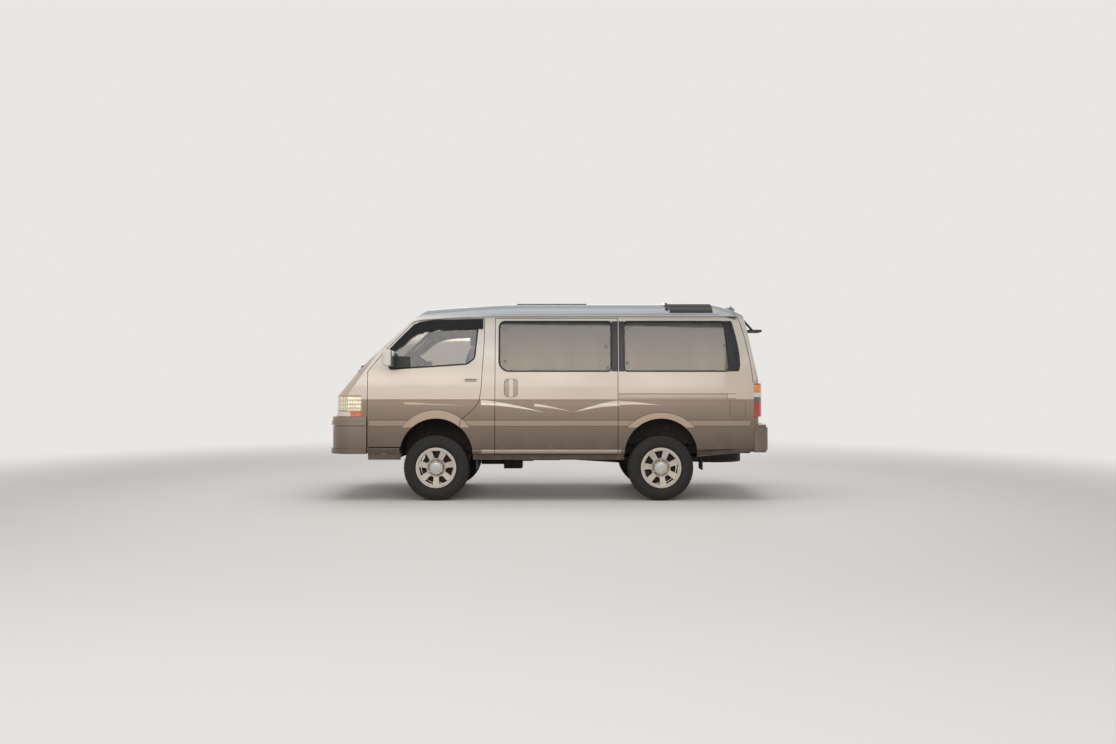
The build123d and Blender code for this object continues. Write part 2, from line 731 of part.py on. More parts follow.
with BuildPart() as tailgate:
    add(tailgate_region(-SEAM))
    add(front_prism(REAR_GLASS, -2750, -1800), mode=Mode.SUBTRACT)
    add(fresh(outer), mode=Mode.INTERSECT)
    add(fresh(inner), mode=Mode.SUBTRACT)
    hood_half, low_z, high_z, hood_rise = PLATE_HOOD
    with BuildPart(mode=Mode.PRIVATE) as plate_hood:
        add(side_box(-2700, -2000, low_z, high_z, -hood_half, hood_half))
        hood_foot = (TAIL_X, SILL_Z)
        hood_knee = (TAIL_X, TAIL_KNEE_Z)
        hood_form = bowed_prism(hood_foot, hood_knee, REAR_BOW, TAIL_CORNER_R, -hood_rise, REACH)
        add(hood_form, mode=Mode.INTERSECT)
        add(fresh(inner), mode=Mode.SUBTRACT)
    add(plate_hood.part)
    for hole_y in (-PLATE_SPACING / 2, PLATE_SPACING / 2):
        hole = bar((TAIL_X + 20, hole_y, REAR_PLATE_Z), (TAIL_X - 20, hole_y, REAR_PLATE_Z), PLATE_HOLE_R)
        add(hole, mode=Mode.SUBTRACT)
    for hinge_y in (-TAIL_HINGE_Y, TAIL_HINGE_Y):
        hinge_x, hinge_z = TAIL_HINGE
        reach = HINGE_EAR_HALF + FIT + HINGE_LEAF
        add(bar((hinge_x, hinge_y - reach, hinge_z), (hinge_x, hinge_y + reach, hinge_z), HINGE_PIN_R))
        for leaf_low in (hinge_y - reach, hinge_y + reach - HINGE_LEAF):
            leaf_high = leaf_low + HINGE_LEAF
            add(bar((hinge_x, leaf_low, hinge_z), (hinge_x, leaf_high, hinge_z), 12))
            leaf = [(hinge_x, hinge_z + 12), (hinge_x - 4, hinge_z - 36), (hinge_x - 40, hinge_z - 60), (hinge_x - 44, hinge_z - 20)]
            add(side_prism(leaf, low_y=leaf_low, high_y=leaf_high))
write(tailgate, "tailgate")



def lamp_form(inset):
    """Outer form of the rear corner lamps, which stand out of the body."""
    with BuildPart() as form:
        add(side_form(inset - LAMP_SIDE_PROUD))
        tail_foot = (TAIL_X, SILL_Z)
        tail_knee = (TAIL_X, TAIL_KNEE_Z)
        corner = bowed_prism(tail_foot, tail_knee, REAR_BOW, TAIL_CORNER_R, inset - LAMP_PROUD, REACH)
        add(corner, mode=Mode.INTERSECT)
    return form.part


lamp_outer = lamp_form(0.0)
lamp_core = lamp_form(4.0)
with BuildPart() as tail_lamps:
    for _, side in SIDES:
        with BuildPart(mode=Mode.PRIVATE) as lamp:
            add(lamp_region(side))
            add(fresh(lamp_core), mode=Mode.INTERSECT)
            add(fresh(inner), mode=Mode.SUBTRACT)
            for low_z, high_z in LAMP_STEPS:
                with BuildPart(mode=Mode.PRIVATE) as cover:
                    add(lamp_region(side))
                    add(side_box(-2700, 0, low_z, high_z), mode=Mode.INTERSECT)
                    add(fresh(lamp_outer), mode=Mode.INTERSECT)
                    add(fresh(inner), mode=Mode.SUBTRACT)
                add(cover.part)
        add(lamp.part)
write(tail_lamps, "tail_lamps")

# Front doors
for name, side in SIDES:
    with BuildPart() as door_region:
        add(side_prism(FRONT_DOOR, grow=-SEAM, low_y=DOOR_INNER_Y + FIT))
        add(arch_opening(AXLE_X), mode=Mode.SUBTRACT)
        add(side_prism(FRONT_WINDOW, FRONT_WINDOW_R), mode=Mode.SUBTRACT)
    rear_x, front_x, low_z, high_z = DOOR_HANDLE
    middle_z = (low_z + high_z) / 2
    recess = [(rear_x + 12, middle_z), (rear_x + 30, low_z), (front_x - 30, low_z), (front_x - 12, middle_z)]
    recess_solid = pocket(side_prism(recess, low_y=SIDE_INNER_Y), HANDLE_POCKET_DEPTH)
    grip = sheet(side_box(rear_x, front_x, middle_z - 3, high_z, SIDE_INNER_Y, 1200), side_form, -HANDLE_RISE, WALL / 2)
    with BuildPart() as front_door:
        add(cut_from(mirrored(door_region.part, side), dressed_sides, side_inner))
        add(mirrored(recess_solid, side), mode=Mode.SUBTRACT)
        add(mirrored(grip, side))
    write(front_door, f"front_door_{name}")

# Sliding door with a cupped handle
with BuildPart() as sliding_region:
    add(side_prism(SLIDING_DOOR, grow=-SEAM, low_y=SIDE_INNER_Y))
    add(side_prism(MIDDLE_WINDOW, MIDDLE_WINDOW_R), mode=Mode.SUBTRACT)
with BuildPart() as sliding_door:
    add(cut_from(sliding_region.part, dressed_sides, side_inner))
    rear_x, front_x, low_z, high_z = SLIDE_HANDLE
    cup_outline = [(rear_x, low_z), (rear_x, high_z), (front_x, high_z), (front_x, low_z)]
    cup = side_prism(cup_outline, [40] * 4, low_y=SIDE_INNER_Y)
    add(pocket(cup, HANDLE_POCKET_DEPTH), mode=Mode.SUBTRACT)
    cup_bar = side_box(rear_x + 46, rear_x + 87, low_z - 2, high_z + 2, SIDE_INNER_Y, 1200)
    add(sheet(cup_bar, side_form, -4, 14))
write(sliding_door, "sliding_door")

with BuildPart() as front_steps:
    for _, side in SIDES:
        low_y, high_y = sorted((side * 500, side * 1200))
        step_rear = AXLE_X + ARCH_R
        add(skin(side_box(step_rear, DOOR_FRONT_X, SILL_Z - 10, DOOR_FOOT_Z - SEAM, low_y, high_y)))
        boss_y = side * DOOR_HINGE[1]
        add(bar((DOOR_HINGE[0], boss_y, 500), (DOOR_HINGE[0], boss_y, DOOR_FOOT_Z + SEAM - FIT), 7))
        low_y, high_y = sorted((side * (RAIL_Y + RAIL_WIDTH / 2 + FIT), side * 790))
        add(side_box(1690, 1740, 470, 500, low_y, high_y))
write(front_steps, "front_steps")

# Glass
with BuildPart() as windscreen:
    add(sheet(screen_opening(-FIT), screen_prism))
write(windscreen, "windscreen")

for name, side in SIDES:
    with BuildPart() as door_glass:
        add(sheet(mirrored(side_prism(FRONT_WINDOW, FRONT_WINDOW_R, grow=-FIT), side), side_form))
    write(door_glass, f"door_glass_{name}")

with BuildPart() as sliding_door_glass:
    add(sheet(side_prism(MIDDLE_WINDOW, MIDDLE_WINDOW_R, grow=-FIT), side_form))
write(sliding_door_glass, "sliding_door_glass")

with BuildPart() as side_glass:
    fixed_panes = [
        (REAR_WINDOW, REAR_WINDOW_R, 1),
        (REAR_WINDOW, REAR_WINDOW_R, -1),
        (MIDDLE_WINDOW, MIDDLE_WINDOW_R, -1),
    ]
    for outline, radii, side in fixed_panes:
        add(sheet(mirrored(side_prism(outline, radii, grow=-FIT), side), side_form))
write(side_glass, "side_glass")

with BuildPart() as tailgate_glass:
    narrow = [(y * (1 - FIT / 580), z + (FIT if z < 1500 else -FIT)) for y, z in REAR_GLASS]
    add(sheet(front_prism(narrow, -2700, -1800), tail_prism))
write(tailgate_glass, "tailgate_glass")

BUMPER_DEPTH = 78.0
BUMPER_BOW = 60.0
BUMPER_CORNER_R = 240.0


def behind_bumper(gap=0.0):
    """Plan of what lies inside the front bumper, as tall as the van."""
    inside = bowed_face(
        BUMPER_X - BUMPER_DEPTH - gap, BUMPER_BOW, BUMPER_CORNER_R - 60, BUMPER_HALF_WIDTH - 50 - gap, -REACH
    )
    with BuildPart() as room:
        extrude(inside, amount=REACH, dir=(0, 0, 1))
    return room.part


# Floor pan with the seat base over the front wheels and wells over the rear ones
under_z = FLOOR_Z - FLOOR_THICKNESS
with BuildPart() as floor_pan:
    tray = [
        (FLOOR_FRONT_X, BULKHEAD_TOP_Z),
        (FLOOR_FRONT_X, FLOOR_Z),
        (SEAT_BASE_FRONT_X, FLOOR_Z),
        (SEAT_BASE_FRONT_X, SEAT_BASE_Z),
        (SEAT_BASE_REAR_X, SEAT_BASE_Z),
        (SEAT_BASE_REAR_X, FLOOR_Z),
        (FLOOR_REAR_X, FLOOR_Z),
        (FLOOR_REAR_X, under_z),
        (SEAT_BASE_REAR_X + FLOOR_THICKNESS, under_z),
        (SEAT_BASE_REAR_X + FLOOR_THICKNESS, SEAT_BASE_Z - FLOOR_THICKNESS),
        (SEAT_BASE_FRONT_X - FLOOR_THICKNESS, SEAT_BASE_Z - FLOOR_THICKNESS),
        (SEAT_BASE_FRONT_X - FLOOR_THICKNESS, under_z),
        (FLOOR_FRONT_X + FLOOR_THICKNESS, under_z),
        (FLOOR_FRONT_X + FLOOR_THICKNESS, BULKHEAD_TOP_Z),
    ]
    add(side_prism(tray, low_y=-1200))
    for _, side in SIDES:
        low_y, high_y = sorted((side * WELL_Y, side * 1200))
        well_front = -AXLE_X + WELL_HALF_LENGTH
        well_rear = -AXLE_X - WELL_HALF_LENGTH
        add(side_box(well_rear, well_front, under_z, WELL_TOP_Z, low_y, high_y))
    for _, side in SIDES:
        low_y, high_y = sorted((side * (WELL_Y + FLOOR_THICKNESS), side * 1200))
        inner_front = well_front - FLOOR_THICKNESS
        inner_rear = well_rear + FLOOR_THICKNESS
        add(
            side_box(inner_rear, inner_front, 0, WELL_TOP_Z - FLOOR_THICKNESS, low_y, high_y),
            mode=Mode.SUBTRACT,
        )
    add(fresh(lining), mode=Mode.INTERSECT)
    add(behind_bumper(FIT), mode=Mode.INTERSECT)
    with BuildPart(mode=Mode.PRIVATE) as door_room:
        add(side_box(SLIDE_FRONT_X, DOOR_FRONT_X + SEAM, 0, 1000))
        add(fresh(door_lining), mode=Mode.SUBTRACT)
    add(door_room.part, mode=Mode.SUBTRACT)
write(floor_pan, "floor_pan")

# Ladder frame
rail_foot_z = RAIL_TOP_Z - RAIL_HEIGHT
CROSSMEMBERS = [
    # x, lowest z, highest z
    (2040, rail_foot_z, RAIL_TOP_Z),
    (AXLE_X + 85, rail_foot_z - 40, ENGINE_FOOT_Z - FIT),
    (SEAT_BASE_REAR_X + 105, rail_foot_z - 40, ENGINE_FOOT_Z - FIT),
    (60, rail_foot_z, RAIL_TOP_Z),
    (-700, rail_foot_z, RAIL_TOP_Z),
    (-1420, rail_foot_z, RAIL_TOP_Z),
]
SPRING_HALF = 520.0
SPRING_Y = 510.0
with BuildPart() as chassis_frame:
    rail_front_x = 2200.0
    rail_rear_x = -2165.0
    for _, side in SIDES:
        low_y = side * RAIL_Y - RAIL_WIDTH / 2
        add(side_box(rail_rear_x, rail_front_x, rail_foot_z, RAIL_TOP_Z, low_y, low_y + RAIL_WIDTH))
    for cross_x, low_z, high_z in CROSSMEMBERS:
        add(side_box(cross_x - 30, cross_x + 30, low_z, high_z, -RAIL_Y, RAIL_Y))
    for _, side in SIDES:
        low_y, high_y = sorted((side * RAIL_Y, side * (SPRING_Y + 30)))
        for end_x in (-AXLE_X - SPRING_HALF - 20, -AXLE_X + SPRING_HALF + 20):
            add(side_box(end_x - 20 + FIT, end_x + 20 - FIT, 380, rail_foot_z + 30, low_y, high_y))
        # Arms that carry the front knuckle, above and below it
        low_y, high_y = sorted((side * 380, side * KINGPIN_Y))
        add(side_box(AXLE_X - 30, AXLE_X + 30, 205, 225 - FIT, low_y, high_y))
        add(side_box(AXLE_X - 30, AXLE_X + 30, 455 + FIT, 475, low_y, high_y))
        low_y, high_y = sorted((side * 370, side * 430))
        add(side_box(AXLE_X - 60, AXLE_X + 60, 205, rail_foot_z + 20, low_y, high_y))
        # Jack pad under the rail
        pad_length, pad_width, pad_height = JACK_PAD
        with Locations((JACK_PAD_X, side * RAIL_Y, rail_foot_z - pad_height / 2)):
            Box(pad_length, pad_width, pad_height)
write(chassis_frame, "chassis_frame")

with BuildPart() as engine:
    add(side_box(ENGINE_REAR_X, ENGINE_REAR_X + 560, ENGINE_FOOT_Z, SEAT_BASE_Z - FLOOR_THICKNESS - 15, -240, 240))
    fillet(engine.edges().filter_by(Axis.Z), 30)
write(engine, "engine")


with BuildPart() as drive_train:
    gearbox_z = 418.0
    gearbox_x = ENGINE_REAR_X - FIT
    transfer_x = gearbox_x - 330
    add(bar((gearbox_x, 0, gearbox_z), (transfer_x, 0, gearbox_z), 110))
    add(bar((transfer_x, 0, gearbox_z), (transfer_x - 250, 0, gearbox_z), 75))
    add(bar((transfer_x - 245, 0, gearbox_z), (-AXLE_X + 60, 0, WHEEL_R), 34))
    add(side_box(transfer_x - 130, transfer_x + 70, gearbox_z - 140, gearbox_z + 20, -60, 210))
    with BuildPart(mode=Mode.PRIVATE) as axle_room:
        with Locations((-AXLE_X, 0, WHEEL_R)):
            Sphere(120 + FIT)
    add(axle_room.part, mode=Mode.SUBTRACT)
write(drive_train, "drive_train")

# Rear axle with its leaf springs and brake drums
with BuildPart() as rear_axle:
    hub_y = WHEEL_Y + HUB_BACK - FIT
    add(bar((-AXLE_X, -hub_y, WHEEL_R), (-AXLE_X, hub_y, WHEEL_R), 40))
    with Locations((-AXLE_X, 0, WHEEL_R)):
        Sphere(120)
    for _, side in SIDES:
        add(bar((-AXLE_X, side * 630, WHEEL_R), (-AXLE_X, side * 710, WHEEL_R), 125))
        add(bar((-AXLE_X, side * 700, WHEEL_R), (-AXLE_X, side * hub_y, WHEEL_R), 70))
        low_y, high_y = sorted((side * (SPRING_Y - 30), side * (SPRING_Y + 30)))
        add(side_box(-AXLE_X - SPRING_HALF, -AXLE_X + SPRING_HALF, 400, 432, low_y, high_y))
        add(side_box(-AXLE_X - 60, -AXLE_X + 60, WHEEL_R, 402, low_y, high_y))
write(rear_axle, "rear_axle")

# Front knuckles: kingpin post, brake disc and stub axle
for name, side in SIDES:
    with BuildPart() as knuckle:
        kingpin_y = side * KINGPIN_Y
        add(bar((AXLE_X, kingpin_y, 225), (AXLE_X, kingpin_y, 455), 26))
        add(bar((AXLE_X, kingpin_y - side * 20, WHEEL_R), (AXLE_X, side * hub_y, WHEEL_R), 48))
        add(bar((AXLE_X, side * 685, WHEEL_R), (AXLE_X, side * 706, WHEEL_R), 132))
        low_y, high_y = sorted((side * 672, side * 726))
        add(side_box(AXLE_X - 150, AXLE_X - 70, WHEEL_R - 55, WHEEL_R + 55, low_y, high_y))
    write(knuckle, f"front_knuckle_{name}")

# Wheels
CORNERS = [
    # name, axle x, side, turn of the spokes as parked
    ("front_left", AXLE_X, 1, 12.9),
    ("front_right", AXLE_X, -1, 0.0),
    ("rear_left", -AXLE_X, 1, 20.5),
    ("rear_right", -AXLE_X, -1, 30.0),
]


def wheel_plane(x, side):
    """Plane across the axle at the wheel's middle, its normal pointing outwards."""
    return Plane(origin=(x, side * WHEEL_Y, WHEEL_R), x_dir=(side, 0, 0), z_dir=(0, side, 0))


def tyre_profile():
    """Half section of the tyre: (distance across, radius)."""
    with BuildSketch(Plane.XZ) as profile:
        with BuildLine():
            seat = RIM_HALF - 1.0
            bore = RIM_R - 14
            Polyline((-seat, bore), (seat, bore), (seat, RIM_R + 6))
            ThreePointArc((seat, RIM_R + 6), (TYRE_HALF, 272), (TREAD_HALF, WHEEL_R - 8))
            Line((TREAD_HALF, WHEEL_R - 8), (TREAD_HALF - 16, WHEEL_R))
            Line((TREAD_HALF - 16, WHEEL_R), (16 - TREAD_HALF, WHEEL_R))
            Line((16 - TREAD_HALF, WHEEL_R), (-TREAD_HALF, WHEEL_R - 8))
            ThreePointArc((-TREAD_HALF, WHEEL_R - 8), (-TYRE_HALF, 272), (-seat, RIM_R + 6))
            Line((-seat, RIM_R + 6), (-seat, bore))
        make_face()
    return profile.sketch


def tyre_solid():
    """Tyre about the Z axis, its middle at the origin."""
    with BuildPart() as solid:
        revolve(tyre_profile().rotate(Axis.Y, 90), axis=Axis.Z)
    return solid.part


def rim_solid():
    """Rim about the Z axis, its outer face towards +Z."""
    barrel = RIM_R - 14 - FIT
    lip = RIM_HALF + 6
    with BuildPart() as solid:
        with BuildSketch(Plane.XZ):
            with BuildLine():
                Polyline(
                    (barrel - RIM_WALL, -lip),
                    (RIM_R, -lip),
                    (RIM_R, -RIM_HALF),
                    (barrel, -RIM_HALF),
                    (barrel, RIM_HALF),
                    (RIM_R, RIM_HALF),
                    (RIM_R, lip),
                    (barrel - RIM_WALL, lip),
                    close=True,
                )
            make_face()
        revolve(axis=Axis.Z)
        with BuildSketch(Plane.XZ):
            with BuildLine():
                Polyline(
                    (0, HUB_BACK),
                    (74, HUB_BACK),
                    (92, 58),
                    (barrel - RIM_WALL / 2, 66),
                    (barrel - RIM_WALL / 2, 88),
                    (96, 80),
                    (70, 62),
                    (66, 92),
                    (0, 92),
                    close=True,
                )
            make_face()
        revolve(axis=Axis.Z)
        with BuildSketch(mode=Mode.PRIVATE) as window:
            with BuildLine():
                Polyline((101, -20), (172, -46), (174, 0), (172, 46), (101, 20), (99, 0), close=True)
            make_face()
        with BuildSketch(Plane.XY.offset(-20)):
            with PolarLocations(0, SPOKE_COUNT):
                add(window.sketch)
        extrude(amount=200, mode=Mode.SUBTRACT)
    return solid.part


tyre = tyre_solid()
rim = rim_solid()
for name, axle_x, side, turn in CORNERS:
    spot = wheel_plane(axle_x, side).location * Location((0, 0, 0), (0, 0, turn))
    with BuildPart() as placed_tyre:
        add(tyre.moved(spot))
    write(placed_tyre, f"tyre_{name}")
    with BuildPart() as placed_rim:
        add(rim.moved(spot))
    write(placed_rim, f"rim_{name}")

# Spare wheel, flat under the load floor
with BuildPart() as spare_wheel:
    add(bar((-1810, 60, RAIL_TOP_Z - 215), (-1810, 60, RAIL_TOP_Z), 325))
write(spare_wheel, "spare_wheel")

with BuildPart() as fuel_tank:
    add(side_box(-120, 620, 310, 540, -700, -RAIL_Y - RAIL_WIDTH / 2 - FIT))
    fillet(fuel_tank.edges().filter_by(Axis.X), 35)
write(fuel_tank, "fuel_tank")

with BuildPart() as exhaust:
    pipe_z = rail_foot_z - 24 - FIT
    add(bar((730, -300, pipe_z), (-2190, -300, pipe_z), 24))
    add(bar((-80, -300, pipe_z), (-600, -300, pipe_z), 78))
write(exhaust, "exhaust")


def bumper(x_middle, bow, corner_r, low_z, high_z, x_end, half_width=BUMPER_HALF_WIDTH):
    """Bowed bar that wraps the corners as far as x_end."""
    plan = bowed_face(x_middle, bow, corner_r, half_width, x_end)
    with BuildPart() as solid:
        extrude(plan.moved(Location((0, 0, low_z))), amount=high_z - low_z, dir=(0, 0, 1))
    return solid.part


with BuildPart() as front_bumper:
    for low_z, high_z, setback in BUMPER_STEPS:
        step_x = BUMPER_X - setback
        step_r = BUMPER_CORNER_R - setback
        step_half = BUMPER_HALF_WIDTH - setback
        add(bumper(step_x, BUMPER_BOW, step_r, low_z, high_z, DOOR_FRONT_X + SEAM, step_half))
    add(behind_bumper(), mode=Mode.SUBTRACT)
    intake_half, low_z, high_z, intake_depth = INTAKE
    intake_x = BUMPER_X - BUMPER_STEPS[1][2] - intake_depth
    with BuildPart(mode=Mode.PRIVATE) as intake:
        add(side_box(1900, 2700, low_z, high_z, -intake_half, intake_half))
        back = bowed_face(intake_x, BUMPER_BOW, BUMPER_CORNER_R, BUMPER_HALF_WIDTH, 0)
        extrude(back, amount=REACH, dir=(0, 0, 1), mode=Mode.SUBTRACT)
    add(intake.part, mode=Mode.SUBTRACT)
    pad_x, pad_width, pad_height = PLATE_PAD
    pad_half = pad_height / 2
    add(side_box(pad_x - 50, pad_x, PLATE_Z - pad_half, PLATE_Z + pad_half, -pad_width / 2, pad_width / 2))
    for hole_y in (-PLATE_SPACING / 2, PLATE_SPACING / 2):
        add(bar((pad_x - 30, hole_y, PLATE_Z), (pad_x + 10, hole_y, PLATE_Z), PLATE_HOLE_R), mode=Mode.SUBTRACT)
write(front_bumper, "front_bumper")

with BuildPart() as rear_bumper:
    for low_z, high_z, setback in REAR_BUMPER_STEPS:
        step_half = BUMPER_HALF_WIDTH - setback
        add(bumper(setback - BUMPER_X, 50, 110 - setback, low_z, high_z, LAMP_FRONT_X, step_half))
    with BuildPart(mode=Mode.PRIVATE) as body_room:
        add(side_form(-FIT))
        tail_foot = (TAIL_X, SILL_Z)
        tail_knee = (TAIL_X, TAIL_KNEE_Z)
        add(bowed_prism(tail_foot, tail_knee, REAR_BOW, TAIL_CORNER_R, -FIT, REACH), mode=Mode.INTERSECT)
    add(body_room.part, mode=Mode.SUBTRACT)
write(rear_bumper, "rear_bumper")

FLAP_FOOT_Z = 318.0
FLAP_TOP_Z = 700.0
FLAP_THICKNESS = 10.0
with BuildPart() as mudflaps:
    for _, side in SIDES:
        low_y, high_y = sorted((side * (WHEEL_Y - 120), side * (WHEEL_Y - 8)))
        flap_x = SEAT_BASE_REAR_X + FLOOR_THICKNESS + FIT
        add(side_box(flap_x, flap_x + FLAP_THICKNESS, FLAP_FOOT_Z, FLAP_TOP_Z, low_y, high_y))
        rear_flap_x = -AXLE_X - WELL_HALF_LENGTH - FLAP_THICKNESS - 2
        add(side_box(rear_flap_x, rear_flap_x + FLAP_THICKNESS, FLAP_FOOT_Z, under_z - FIT, low_y, high_y))
        low_y, high_y = sorted((side * (WHEEL_Y - 9), side * (SIDE_Y - 14)))
        for guard_x in (flap_x, rear_flap_x):
            add(side_box(guard_x, guard_x + FLAP_THICKNESS, FLAP_FOOT_Z, SILL_Z - 4, low_y, high_y))
write(mudflaps, "mudflaps")

# Door mirrors
for name, side in SIDES:
    with BuildPart() as door_mirror:
        low_y, high_y = sorted((side * 880, side * 1060))
        add(side_box(1585, 1680, 1390, 1555, low_y, high_y))
        fillet(door_mirror.edges().filter_by(Axis.Y), 30)
        fillet(door_mirror.faces().sort_by(Axis.X)[-1].edges(), 12)
        add(bar((1620, side * 900, 1420), (1690, side * 790, 1420), 18))
        add(fresh(outer), mode=Mode.SUBTRACT)
    write(door_mirror, f"door_mirror_{name}")

with BuildPart() as rear_view_mirror:
    add(side_box(-2240, -2100, 1755, 1780, 500, 700))
    add(bar((-2170, 600, 1770), (-2030, 600, 1926), 12))
    add(fresh(outer), mode=Mode.SUBTRACT)
write(rear_view_mirror, "rear_view_mirror")

# Roof fittings
SKYLIGHT_RISE = 12.0
DEFLECTOR_RISE = 24.0
ROOF_LIDS = [
    # rear x, front x, right y, left y, rise
    (-1722, -1272, 380, 725, SKYLIGHT_RISE),
    (-1722, -1272, -725, -380, SKYLIGHT_RISE),
    (-1262, -1232, 390, 690, DEFLECTOR_RISE),
    (-1262, -1232, -690, -390, DEFLECTOR_RISE),
    (-408, 346, -420, 420, SKYLIGHT_RISE),
]
with BuildPart() as roof_windows:
    for rear_x, front_x, right_y, left_y, rise in ROOF_LIDS:
        with BuildPart(mode=Mode.PRIVATE) as lid:
            add(side_box(rear_x, front_x, ROOF_SPLIT_Z + 10, 2400, right_y, left_y))
            add(roof_cutter(-FIT), mode=Mode.INTERSECT)
            add(roof_cutter(-rise), mode=Mode.SUBTRACT)
        add(lid.part)
write(roof_windows, "roof_windows")

# Cab
with BuildPart() as dashboard:
    add(side_prism([(2080, 910), (2080, 1290), (1900, 1300), (1760, 1240), (1760, 960), (1880, 910)], low_y=-1200))
    add(fresh(lining), mode=Mode.INTERSECT)
    with BuildPart(mode=Mode.PRIVATE) as dash_room:
        add(side_box(SLIDE_FRONT_X, DOOR_FRONT_X + SEAM, 0, 2000))
        add(fresh(door_lining), mode=Mode.SUBTRACT)
    add(dash_room.part, mode=Mode.SUBTRACT)
write(dashboard, "dashboard")

STEERING_CENTRE = (1480, -375, 1470)
STEERING_TILT = 50.0
with BuildPart() as steering_wheel:
    tilt = math.radians(STEERING_TILT)
    axis = (-math.sin(math.radians(90 - STEERING_TILT)), 0, math.sin(tilt))
    wheel = Plane(origin=STEERING_CENTRE, x_dir=(0, 1, 0), z_dir=axis)
    with BuildSketch(Plane(origin=wheel.origin + wheel.x_dir * 190, x_dir=wheel.x_dir, z_dir=wheel.y_dir)):
        Circle(14)
    revolve(axis=Axis(wheel.origin, wheel.z_dir))
    with BuildSketch(wheel.offset(-30)):
        Circle(50)
        Rectangle(380, 36)
    extrude(amount=22)
    column_end = wheel.origin - wheel.z_dir * 480
    add(bar(tuple(wheel.origin - wheel.z_dir * 20), tuple(column_end), 28))
    add(dashboard.part, mode=Mode.SUBTRACT)
    steering_wheel.part = Part(steering_wheel.part.solids().sort_by(SortBy.VOLUME)[-1].wrapped)
write(steering_wheel, "steering_wheel")

with BuildPart() as seats:
    for seat_y in (370, -370):
        add(side_box(900, 1380, SEAT_BASE_Z + FIT, 1040, seat_y - 250, seat_y + 250))
        back = side_prism(
            [(960, 1000), (860, 1000), (760, 1600), (850, 1600)], low_y=seat_y - 240, high_y=seat_y + 240
        )
        add(back)
        add(side_box(765, 850, 1590, 1800, seat_y - 130, seat_y + 130))
write(seats, "seats")

with BuildPart() as window_shades:
    for outline, radii, side in [*fixed_panes, (MIDDLE_WINDOW, MIDDLE_WINDOW_R, 1)]:
        cover = mirrored(side_prism(outline, radii, grow=SHADE_LAP), side)
        add(sheet(cover, side_form, WALL + FIT, SHADE_THICKNESS))
write(window_shades, "window_shades")
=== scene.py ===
"""Camper van: finish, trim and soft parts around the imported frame.

Metres, in the frame's own axes: +X is forward, +Y is the van's left, +Z is up.
"""

import json
import math

import bmesh
import bpy
from mathutils import Matrix, Vector, noise
from mathutils.bvhtree import BVHTree


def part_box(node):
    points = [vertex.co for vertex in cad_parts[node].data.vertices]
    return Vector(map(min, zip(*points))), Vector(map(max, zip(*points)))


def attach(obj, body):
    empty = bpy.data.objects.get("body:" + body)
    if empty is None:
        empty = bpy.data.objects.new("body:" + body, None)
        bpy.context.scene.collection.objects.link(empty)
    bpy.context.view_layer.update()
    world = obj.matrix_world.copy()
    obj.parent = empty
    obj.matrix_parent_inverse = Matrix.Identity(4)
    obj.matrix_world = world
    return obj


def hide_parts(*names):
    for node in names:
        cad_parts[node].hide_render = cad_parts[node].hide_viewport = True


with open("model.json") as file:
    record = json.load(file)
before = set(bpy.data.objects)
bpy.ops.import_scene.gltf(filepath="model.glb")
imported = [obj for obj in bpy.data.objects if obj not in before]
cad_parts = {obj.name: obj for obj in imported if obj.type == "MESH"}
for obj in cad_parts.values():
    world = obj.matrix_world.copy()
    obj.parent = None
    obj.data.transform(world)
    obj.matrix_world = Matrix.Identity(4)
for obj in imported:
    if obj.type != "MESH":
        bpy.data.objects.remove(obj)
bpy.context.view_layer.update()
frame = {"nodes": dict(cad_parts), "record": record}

# The frame's nodes, and places on the body
NODES = frame["nodes"]
SIDES = (("left", 1), ("right", -1))
AXLE_X = 1.165
BELT_Z = 1.045
PILLAR_X = 0.613
GLASS_INSET = 0.009
GLASS_THICKNESS = 0.006
WALL = 0.042
WAIST_Z = 1.338
WINDOW_TOP_Z = 1.865

# Window outlines on the side: corners (x, z) and their radii
FRONT_WINDOW = [
    (1.655, 1.358), (1.655, 1.560), (1.390, 1.832), (1.335, 1.850), (0.728, 1.865), (0.768, 1.470),
    (0.850, 1.412),
]
FRONT_WINDOW_R = [0.020, 0.060, 0.025, 0.060, 0.040, 0.060, 0.060]
MIDDLE_WINDOW = [(0.517, WAIST_Z), (0.517, WINDOW_TOP_Z), (-0.657, WINDOW_TOP_Z), (-0.657, WAIST_Z)]
MIDDLE_WINDOW_R = [0.105, 0.062, 0.040, 0.040]
REAR_WINDOW = [(-0.781, WAIST_Z), (-0.781, WINDOW_TOP_Z), (-1.835, WINDOW_TOP_Z), (-1.890, WAIST_Z)]
REAR_WINDOW_R = [0.040, 0.040, 0.050, 0.050]
# Windows across the van: corners (y, z)
SCREEN = [(-0.742, 1.330), (-0.668, 1.915), (0.668, 1.915), (0.742, 1.330)]
TAILGATE_WINDOW = [(-0.600, 1.335), (-0.560, 1.800), (0.560, 1.800), (0.600, 1.335)]


def rgb(red, green, blue):
    """Linear colour from 0 to 255 screen values."""

    def linear(value):
        value /= 255
        return value / 12.92 if value <= 0.04045 else ((value + 0.055) / 1.055) ** 2.4

    return (linear(red), linear(green), linear(blue), 1.0)


def scaled(colour, share):
    """A colour made darker or lighter."""
    return tuple(share * part for part in colour[:3]) + (1.0,)


def is_socket(value):
    return isinstance(value, bpy.types.NodeSocket)


def added(tree, kind, inputs, **properties):
    """A shader node with its properties, and its inputs set or linked by index or name."""
    node = tree.nodes.new("ShaderNode" + kind)
    for key, value in properties.items():
        setattr(node, key, value)
    for key, value in inputs.items():
        if is_socket(value):
            tree.links.new(value, node.inputs[key])
        else:
            node.inputs[key].default_value = value
    return node


# Arithmetic on node sockets, in the tree that they belong to
def worked(operation, first, second=0.0):
    tree = (first if is_socket(first) else second).id_data
    return added(tree, "Math", {0: first, 1: second}, operation=operation).outputs[0]


def total(first, second):
    return worked("ADD", first, second)


